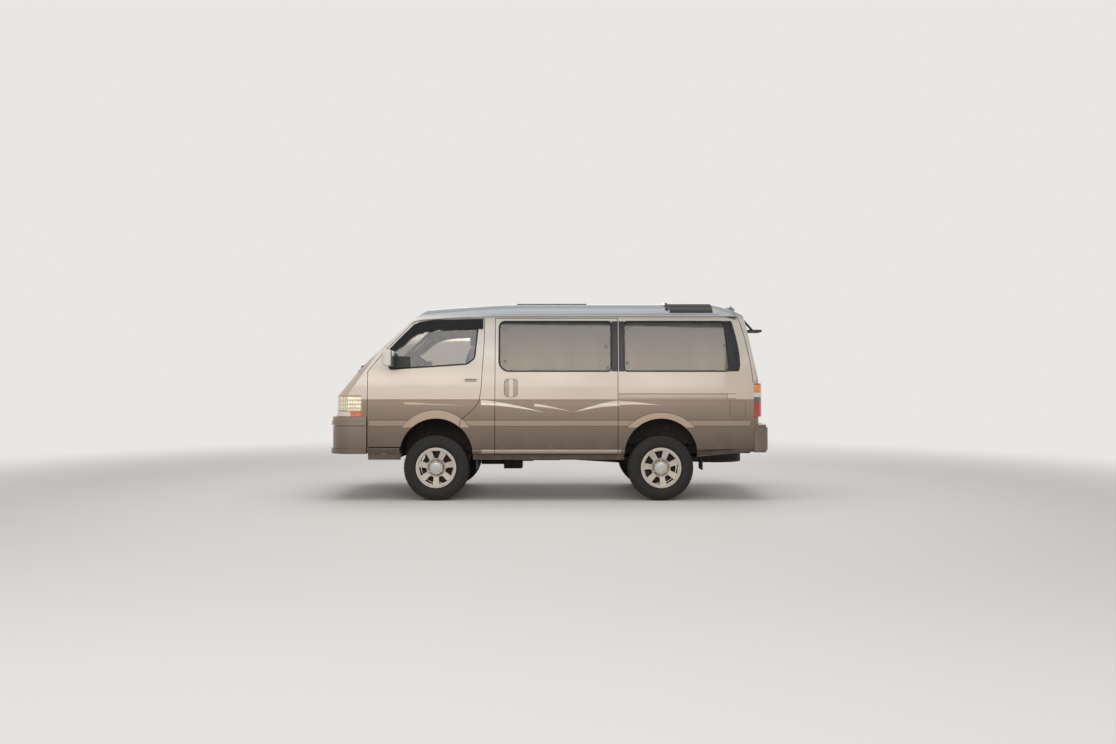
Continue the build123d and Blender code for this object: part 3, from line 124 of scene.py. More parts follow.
def less(first, second):
    return worked("SUBTRACT", first, second)


def unsigned(value):
    return worked("ABSOLUTE", value)


def every(first, *others):
    """Product of values."""
    for value in others:
        first = worked("MULTIPLY", first, value)
    return first


def most(first, *others):
    """Highest of values."""
    for value in others:
        first = worked("MAXIMUM", first, value)
    return first


def length(first, second):
    """Length of a line with these two sides."""
    return worked("POWER", total(every(first, first), every(second, second)), 0.5)


def wave(value, turns_per_metre):
    """Sine of a place, with so many turns a metre."""
    return worked("SINE", every(value, 2 * math.pi * turns_per_metre))


def span(value, low, high, to_low=0.0, to_high=1.0, smooth=False):
    """Value mapped from one range to another and held at its ends."""
    kind = "SMOOTHSTEP" if smooth else "LINEAR"
    inputs = {0: value, 1: low, 2: high, 3: to_low, 4: to_high}
    return added(value.id_data, "MapRange", inputs, interpolation_type=kind).outputs[0]


def between(value, low, high, soft=0.0008):
    """1 between two values, else 0, with soft ends."""
    half = (high - low) / 2
    return span(unsigned(less(value, (low + high) / 2)), half + soft, half - soft)


def mix(share, first, second):
    """A colour at a share of the way between two."""
    return added(share.id_data, "Mix", {0: share, 6: first, 7: second}, data_type="RGBA").outputs[2]


class Surface:
    """A procedural material, with calls that return its node sockets."""

    def __init__(self, name, slot, **settings):
        self.material = bpy.data.materials.new(name)
        self.material.use_nodes = True
        self.slot = slot
        self.tree = self.material.node_tree
        self.tree.nodes.clear()
        self.output = self.node("OutputMaterial")
        self.shader = self.node("BsdfPrincipled")
        self.tree.links.new(self.shader.outputs[0], self.output.inputs[0])
        self.coordinates = self.node("TexCoord").outputs["Object"]
        for key, value in settings.items():
            self.shader.inputs[key.replace("_", " ").title().replace("Ior", "IOR")].default_value = value

    def node(self, kind, **inputs):
        return added(self.tree, kind, inputs)

    def axis(self, letter, vector=None):
        return self.node("SeparateXYZ", Vector=vector or self.coordinates).outputs[letter]

    def texture(self, kind, stretch, **inputs):
        """A pattern on the object's own coordinates, stretched along its axes."""
        place = self.node("Mapping", Vector=self.coordinates, Scale=stretch).outputs[0]
        return self.node(kind, Vector=place, **inputs).outputs[0]

    def noise(self, scale, detail=3.0, stretch=(1, 1, 1), roughness=0.5):
        return self.texture("TexNoise", stretch, Scale=scale, Detail=detail, Roughness=roughness)

    def cells(self, scale, stretch):
        return self.texture("TexVoronoi", stretch, Scale=scale)

    def inward(self):
        """1 on faces that look towards the van's middle or down at its floor, else 0."""
        normal = self.node("NewGeometry").outputs["Normal"]
        towards = every(self.axis("Y", normal), worked("SIGN", self.axis("Y")))
        sides = worked("LESS_THAN", towards, -0.5)
        above = worked("LESS_THAN", self.axis("Z", normal), -0.5)
        return most(sides, every(above, worked("GREATER_THAN", self.axis("Z"), 1.9)))

    def paint(self, colour):
        self.tree.links.new(colour, self.shader.inputs["Base Color"])

    def feel(self, value, low, high):
        """Roughness that varies with a value."""
        self.tree.links.new(span(value, 0.25, 0.75, low, high), self.shader.inputs["Roughness"])

    def bump(self, height, strength, distance):
        node = self.node("Bump", Height=height, Strength=strength, Distance=distance)
        self.tree.links.new(node.outputs[0], self.shader.inputs["Normal"])


# Stripes along both sides: pale swooshes that taper from their wide end to their tip, and a painted sky
# reflection of the same form over the front wheel arch
SWOOSHES_AND_ARC_REFLECTION = [
    # wide end x, z, tip x, z, half width, bend, colour
    (0.700, 1.016, 0.005, 0.905, 0.027, 1.5, rgb(233, 221, 208)),
    (0.150, 0.990, -0.285, 0.912, 0.017, 1.3, rgb(220, 202, 184)),
    (-0.735, 1.010, -0.230, 0.908, 0.030, 1.5, rgb(226, 212, 198)),
    (-0.735, 1.012, -1.210, 0.985, 0.021, 1.8, rgb(222, 206, 192)),
    # Painted sky reflection over the front wheel arch, drawn like a swoosh
    (1.500, 1.010, 0.780, 0.985, 0.014, 0.8, rgb(196, 172, 150)),
]
TRIM_GREY = rgb(116, 110, 102)
# Heights over which the paint's colour changes: painted sky reflections on the silver and the roof, painted
# shade low on the bronze and the bumper, and road dust
WARM_REFLECTION_TOP_Z = 1.62
ROOF_REFLECTION_Z = (1.87, 1.95)
SILL_SHADE_Z = (0.47, 0.78)
DOOR_SHADE_Z = (0.80, BELT_Z)
DUST_Z = (0.78, 0.42)
BUMPER_SHADE_Z = (0.48, 0.87)
BUMPER_DUST_Z = (0.75, 0.45)
# Forms of the sides that painted highlights and painted shadow lines bring out
FLARES = [
    # centre x, z, radius
    (AXLE_X, 0.5062, 0.4328),
    (-AXLE_X, 0.4389, 0.4751),
]
FLARE_FOOT_Z = 0.758
MOULDING_Z = (0.774, 0.831)
MOULDING_X = (-2.085, 1.860)
RAIL_Z = (1.0555, 1.1070)
RAIL_X = (-1.940, -0.729)
SILL_Z = (0.492, 0.529)
SILL_X = (-0.745, 0.690)
SILL_SOFT = 0.004
SIDE_Y = (0.755, 0.765)
GROOVE_HALF = 0.003
# Recesses of the handles, with painted shade inside: centre x, z, half width, half height, corner radius
SLIDE_HANDLE = (0.3905, 1.1670, 0.0695, 0.0930, 0.040)
DOOR_RECESS = (0.8065, 1.2460, 0.0610, 0.0160, 0.014)
SLIDE_GRIP = (0.364, 0.411)
LINE_HALF = 0.0022
LINE_SOFT = 0.0006
LINE_OFFSET = 0.0015
EDGE = 0.001
# Colours of the painted highlights, the painted shade and the painted shadow lines, and of road dust
LIP_HIGHLIGHT_COLOUR = rgb(186, 163, 141)
RECESS_SHADE_COLOUR = rgb(84, 72, 62)
SHADOW_LINE_COLOUR = rgb(44, 37, 32)
DUST_COLOUR = rgb(128, 110, 92)


def from_box(x, z, shape):
    """Distance outside a box with round corners, and less than nothing inside it."""
    centre_x, centre_z, half_x, half_z, radius = shape
    reach = []
    for value, centre, half in ((x, centre_x, half_x), (z, centre_z, half_z)):
        away = unsigned(less(value, centre))
        reach.append(less(away, half - radius))
    outer = length(*(most(part, 0.0) for part in reach))
    inner = worked("MINIMUM", most(*reach), 0.0)
    return less(total(outer, inner), radius)


def painted_highlights_and_shadows(x, y, z, colour):
    """The sides' colour with painted highlights on the lips, painted shadow lines round the forms and painted
    shade in the handle recesses.
    """
    side = span(unsigned(y), *SIDE_Y)
    left = worked("GREATER_THAN", y, 0.0)
    flares = 0.0
    rims = 0.0
    for centre_x, centre_z, radius in FLARES:
        reach = length(less(x, centre_x), less(z, centre_z))
        flares = most(flares, span(reach, radius + EDGE, radius - EDGE))
        rims = most(rims, between(reach, radius - LINE_HALF, radius + LINE_HALF))
    above = span(z, FLARE_FOOT_Z - EDGE, FLARE_FOOT_Z + EDGE)
    flares = every(flares, above)
    clear = less(1.0, flares)
    band = every(between(z, *MOULDING_Z), between(x, *MOULDING_X), clear)
    sill = every(between(z, *SILL_Z, SILL_SOFT), between(x, *SILL_X))
    # Painted highlights on the flares, the moulding and the sill lip; on the moulding partly its own lighter
    # brown
    light = most(every(flares, 0.7), every(band, 0.4), every(sill, 0.6))
    colour = mix(every(light, side), colour, LIP_HIGHLIGHT_COLOUR)

    def lines(heights, ends, *shares):
        edges = [between(z, height - LINE_HALF, height + LINE_HALF, LINE_SOFT) for height in heights]
        return every(most(*edges), between(x, *ends), *shares)

    # Painted shade inside the handle recesses, the sliding door's grip left out
    slide = from_box(x, z, SLIDE_HANDLE)
    recess = from_box(x, z, DOOR_RECESS)
    cup = every(span(slide, EDGE, -EDGE), left)
    grip = less(1.0, between(x, *SLIDE_GRIP))
    hollow = span(recess, EDGE, -EDGE)
    shade = most(every(cup, grip, 0.45), every(hollow, 0.6))
    colour = mix(every(shade, side), colour, RECESS_SHADE_COLOUR)
    # Painted shadow lines round the flares, along the moulding's edges, the rail slot and the belt groove,
    # and round the sliding door's handle recess
    dark = most(
        every(rims, above),
        lines((MOULDING_Z[0] - LINE_OFFSET, MOULDING_Z[1] + LINE_OFFSET), MOULDING_X, clear),
        lines(RAIL_Z, RAIL_X, left),
        every(between(z, BELT_Z - GROOVE_HALF, BELT_Z + GROOVE_HALF), 0.8),
        every(between(slide, -LINE_HALF, LINE_HALF), left, 0.9),
    )
    return mix(every(dark, side, 0.85), colour, SHADOW_LINE_COLOUR)


def body_paint():
    """Silver over bronze-brown metallic, with swooshes and road dust low down. Painted sky reflections warm
    the silver towards the belt and turn the roof grey, painted shade darkens the bronze towards the sill, one
    swoosh is a painted reflection, and the sides carry painted highlights and shadow lines.
    """
    surface = Surface("body_paint", "body_paint", metallic=0.35, coat_weight=0.6, coat_roughness=0.05)
    x = surface.axis("X")
    z = surface.axis("Z")
    cloud = surface.noise(1.7, 4, (0.4, 1, 1.6))
    silver = mix(span(cloud, 0.35, 0.65), rgb(180, 173, 163), rgb(169, 161, 151))
    # Painted sky reflection: the silver turns warm beige towards the belt
    silver = mix(span(z, WARM_REFLECTION_TOP_Z, BELT_Z), silver, rgb(190, 173, 156))
    # Painted sky reflection: grey-blue from just under the gutter up over the roof
    roof = span(z, *ROOF_REFLECTION_Z, smooth=True)
    silver = mix(roof, silver, rgb(112, 116, 121))
    # Painted shade: the bronze darkens towards the sill, where the side faces down, and lightens towards the
    # belt
    bronze = mix(span(z, *SILL_SHADE_Z), rgb(74, 62, 52), rgb(116, 99, 84))
    bronze = mix(span(z, *DOOR_SHADE_Z), bronze, rgb(142, 122, 104))
    # Pale swooshes, and the painted reflection over the front wheel arch
    for wide_x, wide_z, tip_x, tip_z, half, bend, colour in SWOOSHES_AND_ARC_REFLECTION:
        along = span(x, wide_x, tip_x)
        middle = span(worked("POWER", along, bend), 0, 1, wide_z, tip_z)
        away = unsigned(less(z, middle))
        width = span(along, 0.05, 1.0, half, 0.0)
        inside = span(less(width, away), 0.0, 0.004)
        started = worked("GREATER_THAN", along, 0.001)
        streaks = span(surface.noise(26, 3, (0.12, 1, 2.2)), 0.3, 0.6, 0.55, 0.95)
        share = every(inside, started, streaks)
        bronze = mix(share, bronze, colour)
    colour = mix(span(z, BELT_Z - EDGE, BELT_Z + EDGE), bronze, silver)
    colour = painted_highlights_and_shadows(x, surface.axis("Y"), z, colour)
    dust = surface.noise(9.0, 6, (1, 1, 0.5), 0.65)
    dirty = every(span(dust, 0.42, 0.75), span(z, *DUST_Z))
    colour = mix(every(dirty, 0.5), colour, DUST_COLOUR)
    surface.paint(mix(surface.inward(), colour, TRIM_GREY))
    surface.feel(total(cloud, dirty), 0.26, 0.5)
    surface.bump(surface.noise(420, 2), 0.03, 0.002)
    return surface


def lower_paint():
    """Bronze-brown metallic of the bumper and steps, with painted shade: lighter along the top, darker low
    down.
    """
    surface = Surface("lower_paint", "lower_paint", metallic=0.35, coat_weight=0.5, coat_roughness=0.08)
    z = surface.axis("Z")
    dust = surface.noise(11.0, 6, (1, 1, 0.6), 0.65)
    # Painted shade: darker low on the bumper, lighter along its top
    base = mix(span(z, *BUMPER_SHADE_Z), rgb(92, 79, 68), rgb(138, 121, 106))
    dirty = every(span(dust, 0.4, 0.75), span(z, *BUMPER_DUST_Z))
    surface.paint(mix(every(dirty, 0.6), base, DUST_COLOUR))
    surface.feel(dust, 0.3, 0.5)
    surface.bump(surface.noise(420, 2), 0.03, 0.002)
    return surface


def moulded(name, slot, dark, light, low, high, grain, depth, gloss):
    """Moulded plastic with a fine grain and worn patches."""
    surface = Surface(name, slot, specular_ior_level=gloss)
    wear = surface.noise(14, 5)
    surface.paint(mix(span(wear, 0.35, 0.7), dark, light))
    surface.feel(wear, low, high)
    surface.bump(surface.noise(grain, 2), depth, 0.001)
    return surface


MIRROR_CAP_Y = 0.882
MIRROR_RIM_X = 1.592


def mirror_housing():
    """Silver cap in front and a black foot near the door."""
    surface = Surface("mirror_housing", "black_plastic", metallic=0.2, coat_weight=0.5, coat_roughness=0.08)
    cloud = surface.noise(20, 4)
    silver = mix(cloud, rgb(204, 198, 190), rgb(188, 182, 174))
    black = mix(cloud, rgb(26, 25, 25), rgb(36, 34, 33))
    out = unsigned(surface.axis("Y"))
    behind = worked("LESS_THAN", surface.axis("X"), MIRROR_RIM_X)
    shell = every(worked("GREATER_THAN", out, MIRROR_CAP_Y), less(1.0, behind))
    surface.paint(mix(shell, black, silver))
    surface.feel(cloud, 0.3, 0.42)
    surface.bump(surface.noise(500, 2), 0.04, 0.001)
    return surface


def clear_glass():
    tint = rgb(196, 192, 186)
    surface = Surface("glass", "glass", transmission_weight=1.0, ior=1.45, specular_ior_level=0.6)
    film = surface.noise(3.5, 4)
    surface.paint(mix(film, tint, scaled(tint, 0.94)))
    surface.feel(film, 0.015, 0.05)
    return surface


def quilt():
    """Quilted window cover with a soft weave; a painted sky reflection runs from grey at the top to warm
    beige at the sill, and painted shading runs along soft upright folds.
    """
    surface = Surface("quilt", "fabric", sheen_weight=0.25)
    z = surface.axis("Z")
    # Painted sky reflection: grey at the top, warm beige at the sill
    base = mix(span(z, 1.84, 1.42), rgb(106, 98, 90), rgb(244, 216, 176))
    # Painted shading along soft upright folds
    folds = surface.noise(2.2, 3, (3.0, 1, 0.6))
    base = mix(span(folds, 0.35, 0.75, 0.0, 0.35), base, rgb(150, 138, 122))
    weave = surface.noise(330, 3, (1, 1, 2.5))
    surface.paint(mix(span(weave, 0.35, 0.8, 0.0, 0.4), base, rgb(160, 148, 130)))
    surface.feel(weave, 0.75, 0.95)
    surface.bump(weave, 0.3, 0.001)
    return surface


def seat_cloth():
    """Woven seat cloth with a ribbed middle panel."""
    surface = Surface("seat_cloth", "fabric", sheen_weight=0.4, sheen_roughness=0.5)
    weave = every(*(wave(surface.axis(letter), 210) for letter in "YZ"))
    blotch = surface.noise(40, 4)
    base = mix(span(blotch, 0.35, 0.7), rgb(112, 104, 96), rgb(134, 125, 114))
    surface.paint(mix(span(weave, -0.6, 1.0, 0.0, 0.35), base, rgb(92, 86, 80)))
    surface.feel(blotch, 0.8, 0.95)
    surface.bump(weave, 0.35, 0.001)
    return surface


def rubber():
    """Tyre rubber, with fine ribs round the sidewall and dust in the grooves."""
    surface = Surface("rubber", "tyre")
    x = surface.axis("X")
    z = surface.axis("Z")
    dust = surface.noise(22, 6, roughness=0.65)
    radius = length(x, z)
    shoulder = span(radius, 0.27, 0.335, 0.0, 0.5)
    amount = total(span(dust, 0.42, 0.75, 0.0, 0.7), every(shoulder, dust))
    surface.paint(mix(amount, rgb(16, 15, 15), rgb(38, 34, 30)))
    surface.feel(dust, 0.6, 0.88)
    angle = worked("ARCTAN2", z, x)
    ribs = worked("SINE", every(angle, 240))
    band = every(span(radius, 0.283, 0.285), span(radius, 0.303, 0.301))
    fine = every(surface.noise(340, 3), 0.5)
    surface.bump(total(fine, every(ribs, band)), 0.3, 0.001)
    return surface


def alloy():
    """Silver wheel paint with patches of brake dust and dirt, darker deeper into the wheel."""
    surface = Surface("alloy", "wheel_alloy", metallic=0.6, coat_weight=0.3, coat_roughness=0.12)
    grime = surface.noise(30, 6, roughness=0.65)
    # Darker deeper into the wheel, towards the van's middle
    deep = span(unsigned(surface.axis("Y")), 0.795, 0.74)
    share = total(span(grime, 0.5, 0.8, 0.0, 0.7), every(deep, 0.6))
    surface.paint(mix(share, rgb(190, 180, 168), rgb(112, 98, 84)))
    surface.feel(grime, 0.28, 0.55)
    surface.bump(surface.noise(600, 2), 0.08, 0.001)
    return surface


def bright_metal(name, slot, shade, low, high):
    surface = Surface(name, slot, metallic=0.9)
    smear = surface.noise(35, 5)
    surface.paint(mix(smear, shade, scaled(shade, 0.85)))
    surface.feel(smear, low, high)
    surface.bump(surface.noise(500, 2), 0.05, 0.001)
    return surface


def rusty(name, slot, base, rust, share):
    """Painted or cast steel with patches of rust."""
    surface = Surface(name, slot, metallic=0.2)
    patch = surface.noise(12, 8, roughness=0.7)
    amount = span(patch, 0.62 - share, 0.7 - share)
    fine = surface.noise(90, 4)
    worn = mix(fine, base, scaled(base, 1.5))
    surface.paint(mix(amount, worn, rust))
    surface.feel(patch, 0.6, 0.9)
    surface.bump(total(patch, every(fine, 0.4)), 0.3, 0.003)
    return surface


HEADLAMP_FOOT_Z = (0.930, 0.940)
HEADLAMP_TOP_Z = (1.083, 1.075)
INDICATOR_SPLIT_X = (2.050, 2.054)
LENS_GAP = rgb(92, 88, 84)
LENS_SOFT = 0.002
# The tail lamp's sections above its red one
TAIL_SECTIONS = [
    # foot z, painted shaded tone, painted lit tone
    (1.022, LENS_GAP, LENS_GAP),
    (1.073, rgb(196, 190, 184), rgb(236, 230, 224)),
    (1.118, rgb(206, 112, 36), rgb(240, 156, 74)),
    (1.200, LENS_GAP, LENS_GAP),
]


def headlamp_lens():
    """Warm clear glass with upright flutes, and painted reflections of the flutes and of a stepped reflector
    behind.
    """
    surface = Surface("headlamp_lens", "lamp_plastic", coat_weight=1.0, coat_roughness=0.02, metallic=0.25)
    x = surface.axis("X")
    y = surface.axis("Y")
    z = surface.axis("Z")
    slant = total(x, every(unsigned(y), 0.7))
    flutes = wave(slant, 60)
    steps = wave(z, 24)
    facets = surface.cells(26, (1.0, 1.0, 0.7))
    # Painted reflections: lighter along the flutes, the reflector's steps and its facets
    bright = total(span(flutes, -1, 1, 0.0, 0.45), span(steps, -1, 1, 0.0, 0.25))
    bright = total(bright, span(facets, 0.1, 0.8, 0.0, 0.3))
    lens = mix(bright, rgb(196, 172, 128), rgb(252, 243, 220))
    edge = every(span(z, *HEADLAMP_FOOT_Z), span(z, *HEADLAMP_TOP_Z))
    surface.paint(mix(edge, rgb(150, 134, 112), lens))
    surface.feel(flutes, 0.05, 0.12)
    surface.bump(total(flutes, steps), 0.25, 0.004)
    return surface


def indicator_lens():
    """Clear side in front and orange towards the door."""
    surface = Surface("indicator_lens", "lamp_plastic", coat_weight=1.0, coat_roughness=0.02)
    x = surface.axis("X")
    ribs = wave(surface.axis("Z"), 160)
    # Painted light and shade along the ribs: each colour has a lit and a shaded tone
    orange = mix(span(ribs, -1, 1), rgb(206, 92, 34), rgb(232, 122, 56))
    clear = mix(span(ribs, -1, 1), rgb(206, 190, 176), rgb(236, 226, 214))
    surface.paint(mix(span(x, *INDICATOR_SPLIT_X), orange, clear))
    surface.feel(ribs, 0.05, 0.12)
    surface.bump(ribs, 0.3, 0.002)
    return surface


def tail_lens():
    """Amber, clear and red sections, one above the other, with fine ribs and painted light and shade along
    them.
    """
    surface = Surface("tail_lens", "lamp_plastic", coat_weight=1.0, coat_roughness=0.02)
    z = surface.axis("Z")
    ribs = total(wave(z, 110), wave(surface.axis("Y"), 55))
    # Painted light and shade along the ribs: each section has a lit and a shaded tone
    shade = span(ribs, -2, 2)
    colour = mix(shade, rgb(146, 12, 16), rgb(204, 34, 34))
    for foot_z, dark, light in TAIL_SECTIONS:
        colour = mix(span(z, foot_z, foot_z + LENS_SOFT), colour, mix(shade, dark, light))
    surface.paint(colour)
    surface.feel(shade, 0.05, 0.12)
    surface.bump(ribs, 0.25, 0.002)
    return surface


MOULDED = [
    # name, slot, dark, light, lowest and highest roughness, grain, depth, gloss
    ("bumper_plastic", "bumper_plastic", rgb(104, 91, 79), rgb(124, 109, 96), 0.4, 0.55, 900, 0.15, 0.5),
    ("dark_glass", "dark_glass", rgb(14, 14, 15), rgb(20, 20, 21), 0.12, 0.2, 60, 0.02, 0.12),
    ("black_plastic", "black_plastic", rgb(24, 23, 23), rgb(38, 36, 34), 0.45, 0.65, 900, 0.15, 0.5),
    ("trim_plastic", "trim_plastic", rgb(66, 62, 58), rgb(82, 77, 71), 0.5, 0.7, 900, 0.15, 0.5),
    ("seal", "black_plastic", rgb(18, 18, 18), rgb(30, 29, 28), 0.5, 0.7, 700, 0.1, 0.5),
    ("gloss_black", "black_plastic", rgb(22, 20, 21), rgb(31, 28, 29), 0.15, 0.25, 90, 0.02, 0.25),
    ("smoked", "dark_glass", rgb(16, 16, 18), rgb(26, 25, 26), 0.06, 0.14, 80, 0.02, 0.3),
    ("plate", "body_paint", rgb(226, 224, 218), rgb(236, 234, 228), 0.35, 0.5, 300, 0.05, 0.5),
    ("soft_cup", "black_plastic", rgb(70, 66, 60), rgb(96, 90, 82), 0.2, 0.35, 200, 0.05, 0.5),
]
SURFACES = {row[0]: moulded(*row) for row in MOULDED}
SURFACES |= {
    "body_paint": body_paint(),
    "lower_paint": lower_paint(),
    "glass": clear_glass(),
    "lamp_plastic": headlamp_lens(),
    "fabric": quilt(),
    "tyre": rubber(),
    "wheel_alloy": alloy(),
    "cast_iron": rusty("cast_iron", "cast_iron", rgb(52, 47, 43), rgb(104, 68, 44), 0.12),
    "underbody": rusty("underbody", "underbody", rgb(34, 32, 30), rgb(92, 62, 42), 0.06),
    "mirror_housing": mirror_housing(),
    "indicator_lens": indicator_lens(),
    "tail_lens": tail_lens(),
    "mirror_glass": bright_metal("mirror_glass", "glass", rgb(214, 218, 220), 0.02, 0.05),
    "chrome": bright_metal("chrome", "wheel_alloy", rgb(206, 204, 200), 0.12, 0.3),
    "seat_cloth": seat_cloth(),
}
NODE_SURFACES = {
    "front_indicators": "indicator_lens",
    "tail_lamps": "tail_lens",
    "door_mirror_left": "mirror_housing",
    "door_mirror_right": "mirror_housing",
}

slot_of = {part["node"]: part["material_slot"] for part in frame["record"]["subparts"]}
for node_name, node in NODES.items():
    surface_name = NODE_SURFACES.get(node_name, slot_of[node_name])
    node.data.materials.clear()
    node.data.materials.append(SURFACES[surface_name].material)


# Mesh making
def tree_of(*names):
    """Search tree over the faces of some CAD nodes."""
    points = []
    faces = []
    for name in names:
        first = len(points)
        points += [vertex.co.copy() for vertex in NODES[name].data.vertices]
        faces += [[first + index for index in face.vertices] for face in NODES[name].data.polygons]
    return BVHTree.FromPolygons(points, faces)


def make(name, body, surface, build, side=1, sharp=35, at=(0, 0, 0)):
    """A piece built on the left side, or mirrored to the right, in its place on its body."""
    bm = bmesh.new()
    build(bm)
    bmesh.ops.recalc_face_normals(bm, faces=bm.faces)
    if side < 0:
        bmesh.ops.scale(bm, vec=(1, -1, 1), verts=bm.verts)
        bmesh.ops.reverse_faces(bm, faces=bm.faces)
    mesh = bpy.data.meshes.new(name)
    bm.to_mesh(mesh)
    bm.free()
    mesh.shade_smooth()
    mesh.set_sharp_from_angle(angle=math.radians(sharp))
    mesh.materials.append(SURFACES[surface].material)
    piece = bpy.data.objects.new(name, mesh)
    piece.matrix_world = Matrix.Translation(at)
    bpy.context.scene.collection.objects.link(piece)
    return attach(piece, body)


def skinned(bm, rings):
    """Faces between rings of equal count, or rings and a single point."""
    for ring, following in zip(rings, rings[1:]):
        count = max(len(ring), len(following))
        for step in range(count):
            onward = (step + 1) % count
            corners = [ring[step % len(ring)], ring[onward % len(ring)]]
            corners += [following[onward % len(following)], following[step % len(following)]]
            bm.faces.new(list(dict.fromkeys(corners)))


def capped(bm, rings):
    """Closed skin over rings, with a face on each end."""
    skinned(bm, rings)
    bm.faces.new(rings[0])
    bm.faces.new(rings[-1])


def strip(bm, path, profile, closed=True):
    """A profile of (across, out) swept along a path of (place, outward normal)."""
    rings = []
    count = len(path)
    for index, (place, normal) in enumerate(path):
        before = path[index - 1][0] if closed or index else place
        after = path[(index + 1) % count][0] if closed or index < count - 1 else place
        across = (after - before).normalized().cross(normal).normalized()
        rings.append([bm.verts.new(place + across * a + normal * b) for a, b in profile])
    if closed:
        skinned(bm, rings + rings[:1])
    else:
        capped(bm, rings)


def turned(bm, profile, centre, axis="Y", segments=32, turn=0.0, closed=False):
    """A profile of (radius, along) turned round an axis through a centre."""
    rings = []
    for radius, along in profile:
        ring = []
        for step in range(segments if radius > 0 else 1):
            angle = 2 * math.pi * step / segments + turn
            u, v = radius * math.cos(angle), radius * math.sin(angle)
            place = {"X": (along, u, v), "Y": (u, along, v), "Z": (u, v, along)}[axis]
            ring.append(bm.verts.new(Vector(centre) + Vector(place)))
        rings.append(ring)
    skinned(bm, rings + rings[:1] if closed else rings)


def ruled(bm, first, second, rows, thickness):
    """A plate between two lines of (place, outward normal), with a second face that much below."""
    layers = []
    for depth in (0.0, thickness):
        grid = []
        for (a, normal_a), (b, normal_b) in zip(first, second):
            line = []
            for row in range(rows + 1):
                share = row / rows
                line.append(bm.verts.new(a.lerp(b, share) - normal_a.lerp(normal_b, share) * depth))
            grid.append(line)
        layers.append(grid)
    top, under = layers
    for grid in layers:
        for line, following in zip(grid, grid[1:]):
            for row in range(rows):
                bm.faces.new((line[row], line[row + 1], following[row + 1], following[row]))
    for line, low in ((top[0], under[0]), (top[-1], under[-1])):
        for row in range(rows):
            bm.faces.new((line[row], line[row + 1], low[row + 1], low[row]))
    for row in (0, rows):
        for place in range(len(top) - 1):
            bm.faces.new((top[place][row], top[place + 1][row], under[place + 1][row], under[place][row]))


def block(bm, low, high, bevel=0.002, segments=2):
    """A box with rounded edges."""
    low, high = Vector(low), Vector(high)
    scale = Matrix.Diagonal((*(high - low), 1.0))
    made = bmesh.ops.create_cube(bm, size=1.0, matrix=Matrix.Translation((low + high) / 2) @ scale)["verts"]
    edges = list({edge for vertex in made for edge in vertex.link_edges})
    bmesh.ops.bevel(bm, geom=edges, offset=bevel, segments=segments, affect="EDGES", profile=0.5)


def rounded(corners, radii, steps=6):
    """Closed line with an arc of its own radius at each corner."""
    line = []
    for index, (corner, radius) in enumerate(zip(corners, radii)):
        here = Vector(corner)
        to_last = (Vector(corners[index - 1]) - here).normalized()
        to_next = (Vector(corners[(index + 1) % len(corners)]) - here).normalized()
        half = to_last.angle(to_next) / 2
        reach = radius / math.tan(half)
        centre = here + (to_last + to_next).normalized() * (radius / math.sin(half))
        start = here + to_last * reach - centre
        end = here + to_next * reach - centre
        for step in range(steps + 1):
            line.append(centre + start.lerp(end, step / steps).normalized() * radius)
    return line


def spaced(line, step, closed=True):
    """The line in short steps; a closed one runs forwards along its top."""
    ends = line[1:] + line[:1] if closed else line[1:]
    points = []
    for a, b in zip(line, ends):
        parts = max(1, math.ceil((b - a).length / step))
        points += [a.lerp(b, part / parts) for part in range(parts)]
    if not closed:
        return points + [line[-1]]
    area = sum(a.x * b.y - b.x * a.y for a, b in zip(points, points[1:] + points[:1]))
    return points[::-1] if area > 0 else points


def grown(line, amount):
    """A closed line, running forwards along its top, moved outwards."""
    moved = []
    for index, here in enumerate(line):
        along = (line[(index + 1) % len(line)] - line[index - 1]).normalized()
        moved.append(here + Vector((-along.y, along.x)) * amount)
    return moved


OUTSIDE_X = 3.0
OUTSIDE_Y = 1.5
PILLAR = tree_of("side_panel_left", "roof_panel")
SLOPE_STEP = 0.012


def side_y(z):
    """Half width of the body at a height, read down the pillar behind the front door."""
    return PILLAR.ray_cast(Vector((PILLAR_X, OUTSIDE_Y, z)), Vector((0, -1, 0)))[0].y


def on_side(x, z, out=0.0):
    """Place on the left side, moved outwards, and the surface's normal there."""
    slope = (side_y(z + SLOPE_STEP) - side_y(z - SLOPE_STEP)) / (2 * SLOPE_STEP)
    normal = Vector((0, 1, -slope)).normalized()
    return Vector((x, side_y(z), z)) + normal * out, normal


def side_line(points, out=0.0, step=0.03, closed=False):
    """A line of (x, z) laid on the left side."""
    return [on_side(p.x, p.y, out) for p in spaced([Vector(p) for p in points], step, closed)]


# Windows of the sides: rubber seal, dark lining and quilted covers
SEAL = [
    (0.005, 0.0087), (0.005, 0.0105), (-0.001, 0.0112), (-0.010, 0.0050), (-0.012, 0.0003), (-0.0006, 0.0003),
]
LINING = [(-0.0008, -0.0068), (-0.0042, -0.0068), (-0.0042, -0.0325), (-0.0008, -0.0325)]
WINDOWS = [
    # name, corners, radii, body, covered
    ("front", FRONT_WINDOW, FRONT_WINDOW_R, "door_{}", False),
    ("middle", MIDDLE_WINDOW, MIDDLE_WINDOW_R, "root", True),
    ("rear", REAR_WINDOW, REAR_WINDOW_R, "root", True),
]
COVER_LAP = 0.018
COVER_RINGS = 22
COVER_CROWDING = 1.6
COVER_EDGE_RATE = 9
COVER_THICKNESS = 0.005
COVER_PUFF = 0.003
COVER_GAP = 0.0008
WIDE_FOLD = 0.0035
FINE_FOLD = 0.0010


def crease(x, z):
    """How far a cover stands out at its soft upright folds."""
    wide = noise.noise(Vector((x * 5.0, z * 1.3, 3.0)))
    fine = noise.noise(Vector((x * 17.0, z * 4.0, 8.0)))
    return WIDE_FOLD * wide + FINE_FOLD * fine


